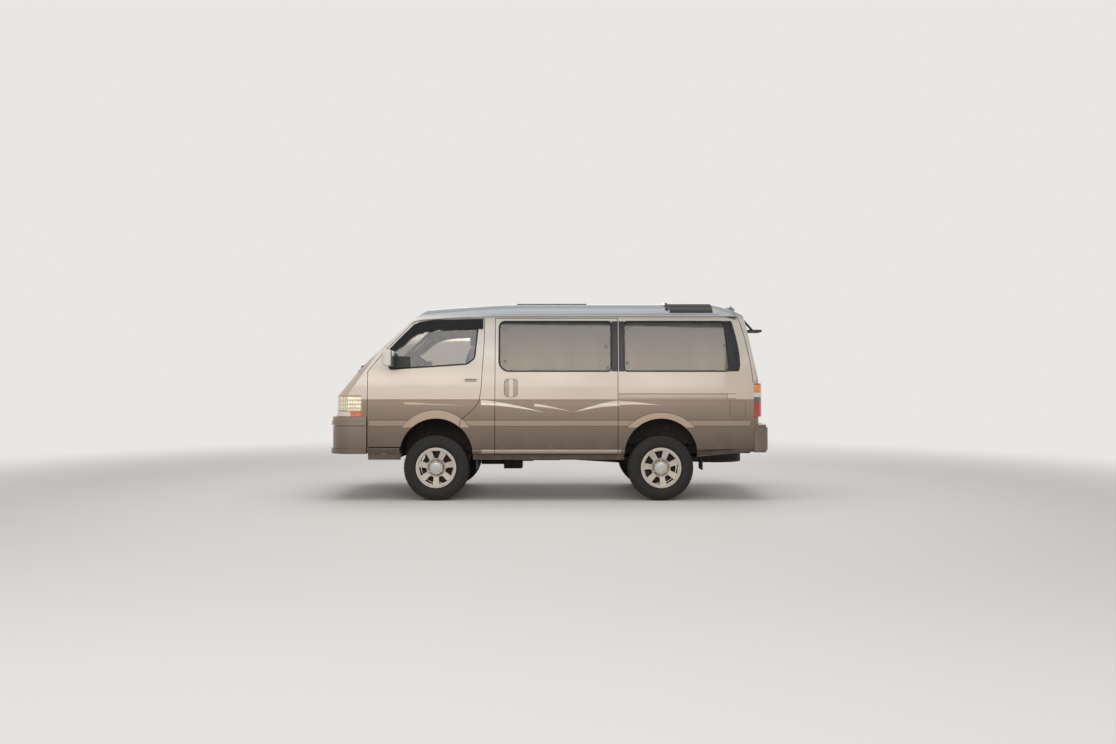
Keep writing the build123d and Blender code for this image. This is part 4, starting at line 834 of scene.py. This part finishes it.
def window_cover(bm, line):
    """Soft cover behind a window, with a flat edge and shallow folds."""
    edge = grown(line, COVER_LAP)
    middle = sum(edge, Vector((0, 0))) / len(edge)
    edges = []
    for back in (False, True):
        rings = []
        for index in range(COVER_RINGS + 1):
            share = (index / COVER_RINGS) ** COVER_CROWDING
            soft = min(1.0, share * COVER_EDGE_RATE)
            ring = []
            for point in edge[: 1 if index == COVER_RINGS else None]:
                x, z = point.lerp(middle, share)
                out = crease(x, z) * soft - WALL - COVER_GAP
                out += -COVER_THICKNESS if back else COVER_PUFF * soft
                ring.append(bm.verts.new(on_side(x, z, out)[0]))
            rings.append(ring)
        skinned(bm, rings)
        edges.append(rings[0])
    skinned(bm, edges)


def side_windows():
    for side_name, side in SIDES:
        for name, corners, radii, body, covered in WINDOWS:
            body = body.format(side_name)
            line = spaced(rounded(corners, radii), 0.03)
            path = [on_side(p.x, p.y, -GLASS_INSET) for p in line]
            for part, profile in (("seal", SEAL), ("lining", LINING)):
                piece_name = f"{name}_window_{part}_{side_name}"
                make(piece_name, body, "seal", lambda bm: strip(bm, path, profile), side)
            if covered:
                piece_name = f"{name}_window_cover_{side_name}"
                cover = make(piece_name, body, "fabric", lambda bm: window_cover(bm, line), side, 60)
                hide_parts("window_shades")


CUPS = [
    # x, z
    (0.450, 1.446), (0.474, 1.787), (-0.600, 1.601), (-0.615, 1.380),
    (-0.822, 1.425), (-0.822, 1.800), (-1.832, 1.610),
]
CUP_PROFILE = [
    # radius, distance in from the glass
    (0.0, 0.0235), (0.006, 0.0232), (0.007, 0.019), (0.009, 0.017), (0.0155, 0.0022), (0.017, 0.0),
    (0.0, 0.0006),
]


def suction_cups(bm):
    """Cups that hold the covers against the glass."""
    profile = [(radius, -inwards) for radius, inwards in CUP_PROFILE]
    for x, z in CUPS:
        turned(bm, profile, on_side(x, z, -GLASS_INSET - GLASS_THICKNESS)[0], "Y", 20)


# Black parts on the sides
VISOR_TOP = [
    (0.682, 1.890), (0.900, 1.887), (1.122, 1.880), (1.225, 1.874), (1.300, 1.865),
    (1.345, 1.856), (1.405, 1.832), (1.510, 1.727), (1.662, 1.566),
]
VISOR_FOOT = [
    (0.682, 1.782), (0.900, 1.779), (1.122, 1.769), (1.225, 1.757), (1.295, 1.744),
    (1.350, 1.727), (1.412, 1.692), (1.510, 1.606), (1.640, 1.522),
]
VISOR_OUT = (0.003, 0.016)
CENTRE_BANDS = [(-0.7170, -0.6570), (-0.7885, -0.7290)]
REAR_BAND_FRONT = [
    (-1.795, 1.866), (-1.824, 1.852), (-1.8405, 1.822), (-1.854, 1.700), (-1.8645, 1.600), (-1.8755, 1.500),
    (-1.8845, 1.405), (-1.872, 1.362), (-1.835, 1.337),
]
REAR_BAND_BACK = [
    (-1.905, 1.868), (-1.9135, 1.852), (-1.923, 1.822), (-1.953, 1.700), (-1.973, 1.600), (-1.987, 1.500),
    (-1.991, 1.405), (-1.983, 1.362), (-1.972, 1.340),
]
SAIL_TOP = [(1.648, 1.548), (1.600, 1.516), (1.560, 1.497), (1.440, 1.492)]
SAIL_FOOT = [(1.648, 1.362), (1.600, 1.370), (1.560, 1.376), (1.436, 1.386)]
SAIL_OUT = (0.0035, 0.0035)
BAND_OUT = (0.0012, 0.0012)
REAR_BAND_OUT = (0.003, 0.003)
LOUVRE = (-1.976, -1.930, 1.448, 1.560)
LOUVRE_ROWS = 7
LOUVRE_COLUMNS = 4
LOUVRE_BAR = [(-0.0016, 0.0), (-0.0012, 0.0040), (0.0012, 0.0040), (0.0016, 0.0)]


def matched(first, second, step, outs):
    """Two lines of equal count laid on the side, for a plate between them."""
    lines = ([], [])
    for (a, b), (c, d) in zip(zip(first, first[1:]), zip(second, second[1:])):
        parts = max(2, math.ceil((Vector(b) - Vector(a)).length / step))
        for part in range(parts):
            for line, p, q, out in zip(lines, (a, c), (b, d), outs):
                x, z = Vector(p).lerp(Vector(q), part / parts)
                line.append(on_side(x, z, out))
    for line, last, out in zip(lines, (first[-1], second[-1]), outs):
        line.append(on_side(*last, out))
    return lines


def window_bands(bm):
    """Black bands between the covered windows and behind the rear one."""
    for rear_x, front_x in CENTRE_BANDS:
        rear_line, front_line = ([(x, WAIST_Z), (x, WINDOW_TOP_Z)] for x in (rear_x, front_x))
        ruled(bm, *matched(rear_line, front_line, 0.03, BAND_OUT), 2, 0.0010)
    ruled(bm, *matched(REAR_BAND_FRONT, REAR_BAND_BACK, 0.02, REAR_BAND_OUT), 3, 0.0024)


def louvre(bm):
    """Air outlet grid in the rear band."""
    rear_x, front_x, low_z, high_z = LOUVRE
    for row in range(LOUVRE_ROWS + 1):
        z = low_z + (high_z - low_z) * row / LOUVRE_ROWS
        strip(bm, side_line([(rear_x, z), (front_x, z)], 0.003), LOUVRE_BAR, closed=False)
    for column in range(LOUVRE_COLUMNS + 1):
        x = rear_x + (front_x - rear_x) * column / LOUVRE_COLUMNS
        strip(bm, side_line([(x, low_z), (x, high_z)], 0.003), LOUVRE_BAR, closed=False)


def rain_visor(bm):
    """Smoked visor over a front door's window, down its front edge."""
    ruled(bm, *matched(VISOR_TOP, VISOR_FOOT, 0.02, VISOR_OUT), 4, 0.0025)


def window_sail(bm):
    """Black plate behind the door mirror's arm."""
    ruled(bm, *matched(SAIL_TOP, SAIL_FOOT, 0.02, SAIL_OUT), 4, 0.010)


# Tyres: carcass with sidewall rings, and a tread of blocks
WHEEL_Y = 0.720
WHEEL_R = 0.340
TYRE_PROFILE = [
    # radius, distance from the tyre's middle
    (0.2095, 0.0900), (0.2110, 0.0950), (0.2140, 0.0980), (0.2175, 0.0985), (0.2190, 0.0968),
    (0.2210, 0.0985), (0.2280, 0.1012), (0.2360, 0.1035), (0.2370, 0.1048), (0.2395, 0.1050),
    (0.2405, 0.1043), (0.2480, 0.1052), (0.2600, 0.1058), (0.2720, 0.1057), (0.2810, 0.1048),
    (0.2820, 0.1058), (0.2850, 0.1052), (0.2860, 0.1035), (0.2940, 0.1015), (0.3040, 0.0982),
    (0.3050, 0.0992), (0.3080, 0.0980), (0.3090, 0.0958), (0.3170, 0.0925), (0.3250, 0.0890),
    (0.3295, 0.0850), (0.3312, 0.0780), (0.3320, 0.0500), (0.3320, 0.0),
]
RIB = [
    (0.330, -0.0120), (0.3394, -0.0120), (0.3400, -0.0105), (0.3400, 0.0105), (0.3394, 0.0120),
    (0.330, 0.0120),
]
INNER_BLOCK = [
    (0.330, 0.0170), (0.3392, 0.0170), (0.3398, 0.0185), (0.3398, 0.0400), (0.3392, 0.0415),
    (0.330, 0.0415),
]
SHOULDER_BLOCK = [
    (0.328, 0.0470), (0.3385, 0.0470), (0.3392, 0.0485), (0.3370, 0.0800), (0.3325, 0.0880),
    (0.3240, 0.0912), (0.3160, 0.0938), (0.3150, 0.0880),
]
TREAD_ROWS = [
    # section, side, share of the pitch, start in the pitch, skew
    (RIB, 1, 0.86, 0.00, 1.2),
    (INNER_BLOCK, 1, 0.74, 0.30, -1.6),
    (INNER_BLOCK, -1, 0.74, 0.62, -1.6),
    (SHOULDER_BLOCK, 1, 0.66, 0.10, 0.9),
    (SHOULDER_BLOCK, -1, 0.66, 0.55, 0.9),
]
PITCHES = 52
TYRE_SEGMENTS = 144


def tyre(bm):
    """Tyre round its own middle."""
    whole = TYRE_PROFILE + [(radius, -y) for radius, y in reversed(TYRE_PROFILE[:-1])]
    turned(bm, whole, (0, 0, 0), "Y", TYRE_SEGMENTS, closed=True)
    pitch = 2 * math.pi / PITCHES
    for section, side, share, start, skew in TREAD_ROWS:
        for index in range(PITCHES):
            rings = []
            for station in (0.0, 0.5, 1.0):
                ring = []
                for radius, y in section:
                    angle = pitch * (index + start + share * station) + skew * y * side
                    place = (radius * math.cos(angle), y * side, radius * math.sin(angle))
                    ring.append(bm.verts.new(place))
                rings.append(ring)
            capped(bm, rings)


NUT_CIRCLE_R = 0.0735
NUT_COUNT = 6
NUT_FACE_Y = 0.066
NUT_PROFILE = [
    (0.0, 0.020), (0.0062, 0.0195), (0.0085, 0.0165), (0.0100, 0.0140), (0.0105, -0.008), (0.0, -0.008),
]
CAP_PROFILE = [
    (0.0, 0.0985), (0.030, 0.0980), (0.046, 0.0965), (0.0475, 0.0952), (0.0500, 0.0952),
    (0.0515, 0.0940), (0.0515, 0.0900), (0.0, 0.0900),
]
DISC_PROFILE = [
    (0.0, 0.026), (0.060, 0.026), (0.064, 0.021), (0.100, 0.0205), (0.104, 0.023), (0.160, 0.023),
    (0.162, 0.021), (0.162, 0.017), (0.0, 0.017),
]


def nuts_and_cap(bm):
    """Six wheel nuts and the plain centre cap, round the wheel's own middle."""
    for index in range(NUT_COUNT):
        angle = 2 * math.pi * (index + 0.5) / NUT_COUNT
        spot = (NUT_CIRCLE_R * math.cos(angle), NUT_FACE_Y, NUT_CIRCLE_R * math.sin(angle))
        turned(bm, NUT_PROFILE, spot, "Y", 6, angle)
    turned(bm, CAP_PROFILE, (0, 0, 0), "Y", 48)


def brake_disc(bm):
    """Dark disc that closes the view between the spokes, round the wheel's own middle."""
    turned(bm, DISC_PROFILE, (0, 0, 0), "Y", 64)


WHEEL_PIECES = [
    # name, surface, build, sharp angle, node replaced
    ("tread", "tyre", tyre, 38, "tyre"),
    ("wheel_nuts", "chrome", nuts_and_cap, 30, None),
    ("brake_disc", "underbody", brake_disc, 30, None),
]


def wheels():
    for end, wheel_x in (("front", AXLE_X), ("rear", -AXLE_X)):
        for side_name, side in SIDES:
            place = f"{end}_{side_name}"
            at = (wheel_x, side * WHEEL_Y, WHEEL_R)
            for name, surface, build, sharp, node in WHEEL_PIECES:
                piece = make(f"{name}_{place}", f"wheel_{place}", surface, build, side, sharp, at)
                if node:
                    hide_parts(f"{node}_{place}")


# Screens across the van: seals, wipers, heater lines
SCREEN_SEAL = [
    (0.008, 0.0080), (0.008, 0.0104), (0.0, 0.0112), (-0.014, 0.0040), (-0.016, 0.0003),
    (-0.0006, 0.0003),
]
WINDSCREEN = tree_of("windscreen")
TAILGATE_PANE = tree_of("tailgate_glass")
FORWARD = 1
REARWARD = -1


def on_pane(tree, y, z, facing, lift=0.0):
    """Place on a pane across the van at a spot (y, z), and its outward normal."""
    place, normal, _, _ = tree.ray_cast(Vector((OUTSIDE_X * facing, y, z)), Vector((-facing, 0, 0)))
    if normal.x * facing < 0:
        normal = -normal
    return place + normal * lift, normal


def pane_edge(tree, corners, radius, facing, inset=0.004):
    """Path round a pane, a little inside its edge."""
    line = grown(spaced(rounded(corners, [radius] * len(corners)), 0.03), -inset)
    path = [on_pane(tree, y, z, facing) for y, z in line]
    return path if facing < 0 else path[::-1]


WIPER_BLADE = [
    (-0.0035, 0.002), (-0.0015, 0.012), (-0.005, 0.014), (-0.005, 0.018), (0.005, 0.018), (0.005, 0.014),
    (0.0015, 0.012), (0.0035, 0.002),
]
WIPER_ARM = [(-0.008, 0.019), (-0.006, 0.028), (0.006, 0.028), (0.008, 0.019)]
SPINDLE = [(0.0, 0.034), (0.012, 0.032), (0.015, 0.024), (0.016, -0.004), (0.0, -0.004)]
FRONT_WIPERS = [
    # pivot (y, z), blade's start, blade's end
    ((0.640, 1.372), (0.610, 1.392), (0.090, 1.366)),
    ((0.010, 1.362), (-0.030, 1.392), (-0.560, 1.378)),
]
REAR_WIPER = ((0.020, 1.352), (-0.080, 1.372), (0.340, 1.386))
ARM_REACH = 0.55


def wiper(bm, tree, facing, pivot, blade_start, blade_end):
    """Spindle, arm and blade lying on a pane."""

    def path(a, b, count):
        return [on_pane(tree, *Vector(a).lerp(Vector(b), i / count), facing) for i in range(count + 1)]

    strip(bm, path(blade_start, blade_end, 16), WIPER_BLADE, closed=False)
    middle = Vector(blade_start).lerp(Vector(blade_end), ARM_REACH)
    strip(bm, path(pivot, middle, 10), WIPER_ARM, closed=False)
    turned(bm, SPINDLE, on_pane(tree, *pivot, facing)[0], "Z", 20)


HEATER_ROWS = 11
HEATER_FOOT_Z = 1.400
HEATER_PITCH = 0.036
HEATER_HALF = 0.540
HEATER_TAPER = 0.003
HEATER_LIFT = 0.0004
HEATER_WIRE = [(-0.0006, 0.0), (-0.0006, -0.0004), (0.0006, -0.0004), (0.0006, 0.0)]


def heater(bm):
    """Fine heating wires on the inside of the tailgate window."""
    for row in range(HEATER_ROWS):
        z = HEATER_FOOT_Z + HEATER_PITCH * row
        half = HEATER_HALF - HEATER_TAPER * row
        spots = [-half + half * i / 6 for i in range(13)]
        line = [on_pane(TAILGATE_PANE, y, z, REARWARD, -GLASS_THICKNESS - HEATER_LIFT) for y in spots]
        strip(bm, line, HEATER_WIRE, closed=False)


def front_wipers(bm):
    for spots in FRONT_WIPERS:
        wiper(bm, WINDSCREEN, FORWARD, *spots)


def windscreen_seal(bm):
    strip(bm, pane_edge(WINDSCREEN, SCREEN, 0.100, FORWARD), SCREEN_SEAL)


def tailgate_window_seal(bm):
    strip(bm, pane_edge(TAILGATE_PANE, TAILGATE_WINDOW, 0.040, REARWARD), SCREEN_SEAL)


def tailgate_wiper(bm):
    wiper(bm, TAILGATE_PANE, REARWARD, *REAR_WIPER)


# Number plates, left blank, and mirror glass
PLATE_HALF = (0.165, 0.0825)
PLATE_CORNER_R = 0.010
PLATE_STEPS = [
    # grown by, rise
    (0.0, 0.0), (0.0, 0.0024), (-0.006, 0.0024), (-0.006, 0.0014),
]
PLATE_SCREW_Y = 0.105
FRONT_PLATE = (2.3316, 0.640, FORWARD)
REAR_PLATE = (-2.2506, 0.980, REARWARD)
SCREW_HEAD = [(0.0, 0.0048), (0.005, 0.0044), (0.0068, 0.0030), (0.0070, 0.0014), (0.0, 0.0014)]


def panel(bm, face_x, facing, low, high, radius, steps):
    """Panel across the van with round corners and a stepped edge."""
    corners = [(low[0], low[1]), (low[0], high[1]), (high[0], high[1]), (high[0], low[1])]
    outer = spaced(rounded(corners, [radius] * 4), 1.0)
    rings = []
    for out, rise in steps:
        rings.append([bm.verts.new((face_x + facing * rise, p.x, p.y)) for p in grown(outer, out)])
    capped(bm, rings)


def blank_plate(bm, face_x, z, facing):
    """Thin plate with a raised rim and two screws."""
    half_y, half_z = PLATE_HALF
    low, high = (-half_y, z - half_z), (half_y, z + half_z)
    panel(bm, face_x, facing, low, high, PLATE_CORNER_R, PLATE_STEPS)
    for y in (-PLATE_SCREW_Y, PLATE_SCREW_Y):
        turned(bm, [(radius, facing * along) for radius, along in SCREW_HEAD], (face_x, y, z), "X", 12)


MIRROR_BACK_X = 1.5846
MIRROR_PANE = ((0.888, 1.402), (1.048, 1.543))
MIRROR_CORNER_R = 0.022
MIRROR_STEPS = [
    # grown by, rise
    (0.0, 0.0003), (-0.001, -0.0012), (-0.003, -0.0018),
]


def mirror_pane(bm):
    """Glass with a rounded edge in the rear face of a door mirror."""
    panel(bm, MIRROR_BACK_X, FORWARD, *MIRROR_PANE, MIRROR_CORNER_R, MIRROR_STEPS)


# Wheel houses over the front wheels
HOUSE_R = 0.383
HOUSE_Z = 0.472
HOUSE_FOOT_Z = 0.440
HOUSE_Y = (0.445, 0.694)
HOUSE_THICKNESS = 0.003


def wheel_house(bm):
    """Dark inner arch over a front wheel, with its inner wall."""
    arch = []
    for degrees in range(0, 181, 6):
        away = Vector((math.cos(math.radians(degrees)), math.sin(math.radians(degrees))))
        arch.append((Vector((AXLE_X, HOUSE_Z)) + away * HOUSE_R, away))
    foot = Vector((0, HOUSE_FOOT_Z - HOUSE_Z))
    arch = [(arch[0][0] + foot, arch[0][1]), *arch, (arch[-1][0] + foot, arch[-1][1])]
    inner_y, outer_y = HOUSE_Y
    lines = []
    for out, y in ((0, outer_y), (0, inner_y), (1, inner_y - HOUSE_THICKNESS), (1, outer_y)):
        places = [place + away * out * HOUSE_THICKNESS for place, away in arch]
        lines.append([bm.verts.new((p.x, y, p.y)) for p in places])
    for line, following in ((lines[0], lines[1]), (lines[2], lines[3]), (lines[3], lines[0])):
        for i in range(len(line) - 1):
            bm.faces.new((line[i], line[i + 1], following[i + 1], following[i]))
    bm.faces.new(lines[1])
    bm.faces.new(lines[2])
    for i in (0, -1):
        bm.faces.new([line[i] for line in lines])
    bm.faces.new((lines[1][0], lines[2][0], lines[2][-1], lines[1][-1]))


# Front seats: crowned cushions with sewn channels
SEAT_Y = 0.370
SIDE_SEAM = 0.62
CHANNEL_WIDTH = 0.035
SIDE_SEAM_WIDTH = 0.03
SIDE_SEAM_SHARE = 0.8
CHANNEL_DEPTH = 0.10
CUSHION_LEAN = -math.pi / 2 - 0.06
SEATS = [
    # name, size, centre, lean, channels, fill
    ("seat_cushion", (0.140, 0.490, 0.470), (1.140, SEAT_Y, 0.965), CUSHION_LEAN, (-0.35, 0.0, 0.35), 0.85),
    ("seat_back", (0.115, 0.480, 0.600), (0.858, SEAT_Y, 1.300), -0.165, (-0.45, -0.1, 0.25), 0.8),
    ("head_rest", (0.095, 0.270, 0.190), (0.800, SEAT_Y, 1.700), -0.08, (), 0.9),
]
POST = [(0.0, 0.16), (0.006, 0.16), (0.006, 0.0), (0.0, 0.0)]
POST_FOOT = (0.806, 1.540)
POST_OFFSET = 0.05


def cushion(bm, size, centre, lean, channels, around=44, along=28, power=4.0, crown=0.22):
    """Closed crowned form with soft corners; channels are seams across it, at shares of its length."""
    half = Vector(size) / 2
    turn = Matrix.Rotation(lean, 3, "Y")
    rings = []
    for i in range(along + 1):
        v = -math.cos(math.pi * i / along)
        shrink = max(0.0, 1 - abs(v) ** power) ** (1 / power)
        ring = []
        for j in range(around if 0 < i < along else 1):
            angle = 2 * math.pi * j / around
            c, s = math.cos(angle), math.sin(angle)
            x = math.copysign(abs(c) ** (2 / power), c) * shrink
            y = math.copysign(abs(s) ** (2 / power), s) * shrink
            puff = 1 + crown * (1 - y * y) * (1 - v * v) * (0.5 if x > 0 else 0.25)
            seam = sum(math.exp(-(((v - channel) / CHANNEL_WIDTH) ** 2)) for channel in channels)
            if channels:
                sides = (math.exp(-(((y - line) / SIDE_SEAM_WIDTH) ** 2)) for line in (-SIDE_SEAM, SIDE_SEAM))
                seam += SIDE_SEAM_SHARE * sum(sides)
            depth = CHANNEL_DEPTH * seam if x > 0.3 else 0.0
            place = Vector((half.x * x * (puff - depth), half.y * y, half.z * v))
            ring.append(bm.verts.new(turn @ place + Vector(centre)))
        rings.append(ring)
    skinned(bm, rings)


def head_rest_posts(bm):
    x, z = POST_FOOT
    for offset in (-POST_OFFSET, POST_OFFSET):
        turned(bm, POST, (x, SEAT_Y + offset, z), "Z", 12)


def seats():
    for side_name, side in SIDES:
        for name, *shape, fill in SEATS:
            piece_name = f"{name}_{side_name}"
            piece = make(piece_name, "root", "seat_cloth", lambda bm: cushion(bm, *shape), side, 60)
            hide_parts("seats")


# Cab details
DASH_BLOCKS = [
    # low corner, high corner, bevel, segments
    ((1.742, -0.560, 1.215), (1.800, -0.200, 1.292), 0.012, 3),
    ((1.750, -0.130, 1.000), (1.762, 0.070, 1.050), 0.003, 2),
    ((1.750, -0.130, 1.060), (1.762, 0.070, 1.110), 0.003, 2),
]
VENT_Y = (-0.700, -0.110, 0.050, 0.640)
VENT_HALF = 0.055
VENT_X = (1.752, 1.762)
VENT_FOOT_Z = 1.165
VENT_ROWS = 5
VENT_PITCH = 0.011
VENT_BAR = 0.005
KNOB = [(0.0, -0.022), (0.013, -0.022), (0.015, 0.0), (0.0, 0.0)]
KNOB_PLACES = [(1.760, -0.095, 0.975), (1.760, -0.030, 0.975), (1.760, 0.035, 0.975)]
CAB_MIRROR_BLOCKS = [
    # low corner, high corner, bevel, segments
    ((1.440, -0.110, 1.780), (1.460, 0.110, 1.840), 0.009, 3),
    ((1.455, -0.008, 1.820), (1.482, 0.008, 1.846), 0.004, 2),
]


def dashboard_details(bm):
    """Instrument hood, radio, air vents and knobs on the dashboard's rear face."""
    for corners in DASH_BLOCKS:
        block(bm, *corners)
    rear_x, front_x = VENT_X
    for y in VENT_Y:
        for row in range(VENT_ROWS):
            z = VENT_FOOT_Z + VENT_PITCH * row
            block(bm, (rear_x, y - VENT_HALF, z), (front_x, y + VENT_HALF, z + VENT_BAR), 0.001, 1)
    for place in KNOB_PLACES:
        turned(bm, KNOB, place, "X", 20)


def inner_mirror(bm):
    """Cab mirror on its stem at the top of the windscreen."""
    for corners in CAB_MIRROR_BLOCKS:
        block(bm, *corners)


def front_plate(bm):
    blank_plate(bm, *FRONT_PLATE)


def rear_plate(bm):
    blank_plate(bm, *REAR_PLATE)


PAIRS = [
    # name, body, surface, build, sharp angle
    ("suction_cups", "root", "soft_cup", suction_cups, 35),
    ("rain_visor", "door_{}", "smoked", rain_visor, 50),
    ("window_sail", "door_{}", "black_plastic", window_sail, 50),
    ("window_bands", "root", "gloss_black", window_bands, 35),
    ("louvre", "root", "black_plastic", louvre, 35),
    ("mirror_pane", "door_{}", "mirror_glass", mirror_pane, 35),
    ("wheel_house", "root", "underbody", wheel_house, 35),
    ("head_rest_posts", "root", "chrome", head_rest_posts, 35),
]
SINGLES = [
    # name, body, surface, build, sharp angle
    ("windscreen_seal", "root", "seal", windscreen_seal, 35),
    ("tailgate_window_seal", "tailgate", "seal", tailgate_window_seal, 35),
    ("windscreen_wipers", "root", "black_plastic", front_wipers, 35),
    ("tailgate_wiper", "tailgate", "black_plastic", tailgate_wiper, 35),
    ("tailgate_window_heater", "tailgate", "soft_cup", heater, 35),
    ("front_plate", "root", "plate", front_plate, 30),
    ("rear_plate", "tailgate", "plate", rear_plate, 30),
    ("dashboard_details", "root", "black_plastic", dashboard_details, 35),
    ("inner_mirror", "root", "black_plastic", inner_mirror, 35),
]

side_windows()
wheels()
seats()
for name, body, surface, build, sharp in PAIRS:
    for side_name, side in SIDES:
        make(f"{name}_{side_name}", body.format(side_name), surface, build, side, sharp)
for name, body, surface, build, sharp in SINGLES:
    make(name, body, surface, build, 1, sharp)


# Floor, light and camera
BACKGROUND = rgb(233, 231, 228)
FLOOR_COLOUR = rgb(214, 211, 207)
FLOOR_HALF = 60.0
FADE_START = 5.0
FADE_END = 11.0


def seen(tree):
    """1 for what the camera, gloss and glass see, else 0."""
    rays = added(tree, "LightPath", {}).outputs
    return most(rays["Is Camera Ray"], rays["Is Glossy Ray"], rays["Is Transmission Ray"])


def plain_stage():
    """Pale floor that turns into the background colour far from the van."""
    floor_mesh = bpy.data.meshes.new("floor")
    corners = [(x * FLOOR_HALF, y * FLOOR_HALF, 0) for x, y in ((-1, -1), (1, -1), (1, 1), (-1, 1))]
    floor_mesh.from_pydata(corners, [], [(0, 1, 2, 3)])
    floor = bpy.data.objects.new("floor", floor_mesh)
    bpy.context.scene.collection.objects.link(floor)
    surface = Surface("floor", "body_paint", specular_ior_level=0.2)
    x = surface.axis("X")
    y = surface.axis("Y")
    far = span(length(x, y), FADE_START, FADE_END, smooth=True)
    tone = surface.noise(0.8, 2)
    surface.paint(mix(tone, FLOOR_COLOUR, scaled(FLOOR_COLOUR, 0.98)))
    surface.feel(tone, 0.85, 0.95)
    glow = surface.node("Emission", Color=BACKGROUND, Strength=1.0)
    share = every(seen(surface.tree), far)
    blend = added(surface.tree, "MixShader", {0: share, 1: surface.shader.outputs[0], 2: glow.outputs[0]})
    surface.tree.links.new(blend.outputs[0], surface.output.inputs[0])
    floor_mesh.materials.append(surface.material)


def soft_light(name, place, aim, width, height, power):
    data = bpy.data.lights.new(name, "AREA")
    data.shape = "RECTANGLE"
    data.size = width
    data.size_y = height
    data.energy = power
    lamp = bpy.data.objects.new(name, data)
    lamp.location = place
    lamp.rotation_euler = (Vector(aim) - Vector(place)).to_track_quat("-Z", "Y").to_euler()
    bpy.context.scene.collection.objects.link(lamp)


SKY_STRENGTH = 0.62
LAMPS = [
    # name, place, aim, width, height, power
    ("overhead", (0, 0.5, 6.0), (0, 0, 0), 8.0, 5.0, 230),
    ("left_side", (1.0, 8.5, 3.4), (0, 0, 1.0), 9.0, 2.5, 230),
    ("right_side", (-1.0, -8.5, 3.4), (0, 0, 1.0), 9.0, 2.5, 170),
]


def studio():
    """Even sky light, a wide lamp above and a long soft lamp on each side."""
    world = bpy.data.worlds.new("studio")
    world.use_nodes = True
    tree = world.node_tree
    sky = tree.nodes["Background"]
    sky.inputs["Color"].default_value = rgb(226, 226, 228)
    sky.inputs["Strength"].default_value = SKY_STRENGTH
    plain = added(tree, "Background", {"Color": BACKGROUND})
    blend = added(tree, "MixShader", {0: seen(tree), 1: sky.outputs[0], 2: plain.outputs[0]})
    tree.links.new(blend.outputs[0], tree.nodes["World Output"].inputs[0])
    bpy.context.scene.world = world
    for lamp in LAMPS:
        soft_light(*lamp)


PHOTO_WIDTH = 1116
METRES_PER_PIXEL = 0.01034
CAMERA_DISTANCE = 9.0
CAMERA_X = -0.098
HORIZON_Z = 1.167
CENTRE_Z = 1.332


def camera():
    """Camera level with the van's belt, square to its left side."""
    data = bpy.data.cameras.new("camera")
    near_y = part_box("side_panel_left")[1].y
    data.sensor_width = 36.0
    data.lens = 36.0 * CAMERA_DISTANCE / (PHOTO_WIDTH * METRES_PER_PIXEL)
    view = bpy.data.objects.new("camera", data)
    view.location = (CAMERA_X, near_y + CAMERA_DISTANCE, HORIZON_Z)
    aim = Vector((CAMERA_X, near_y, CENTRE_Z))
    view.rotation_euler = (aim - view.location).to_track_quat("-Z", "Y").to_euler()
    bpy.context.scene.collection.objects.link(view)
    bpy.context.scene.camera = view


plain_stage()
studio()
camera()
bpy.context.scene.view_settings.view_transform = "Standard"
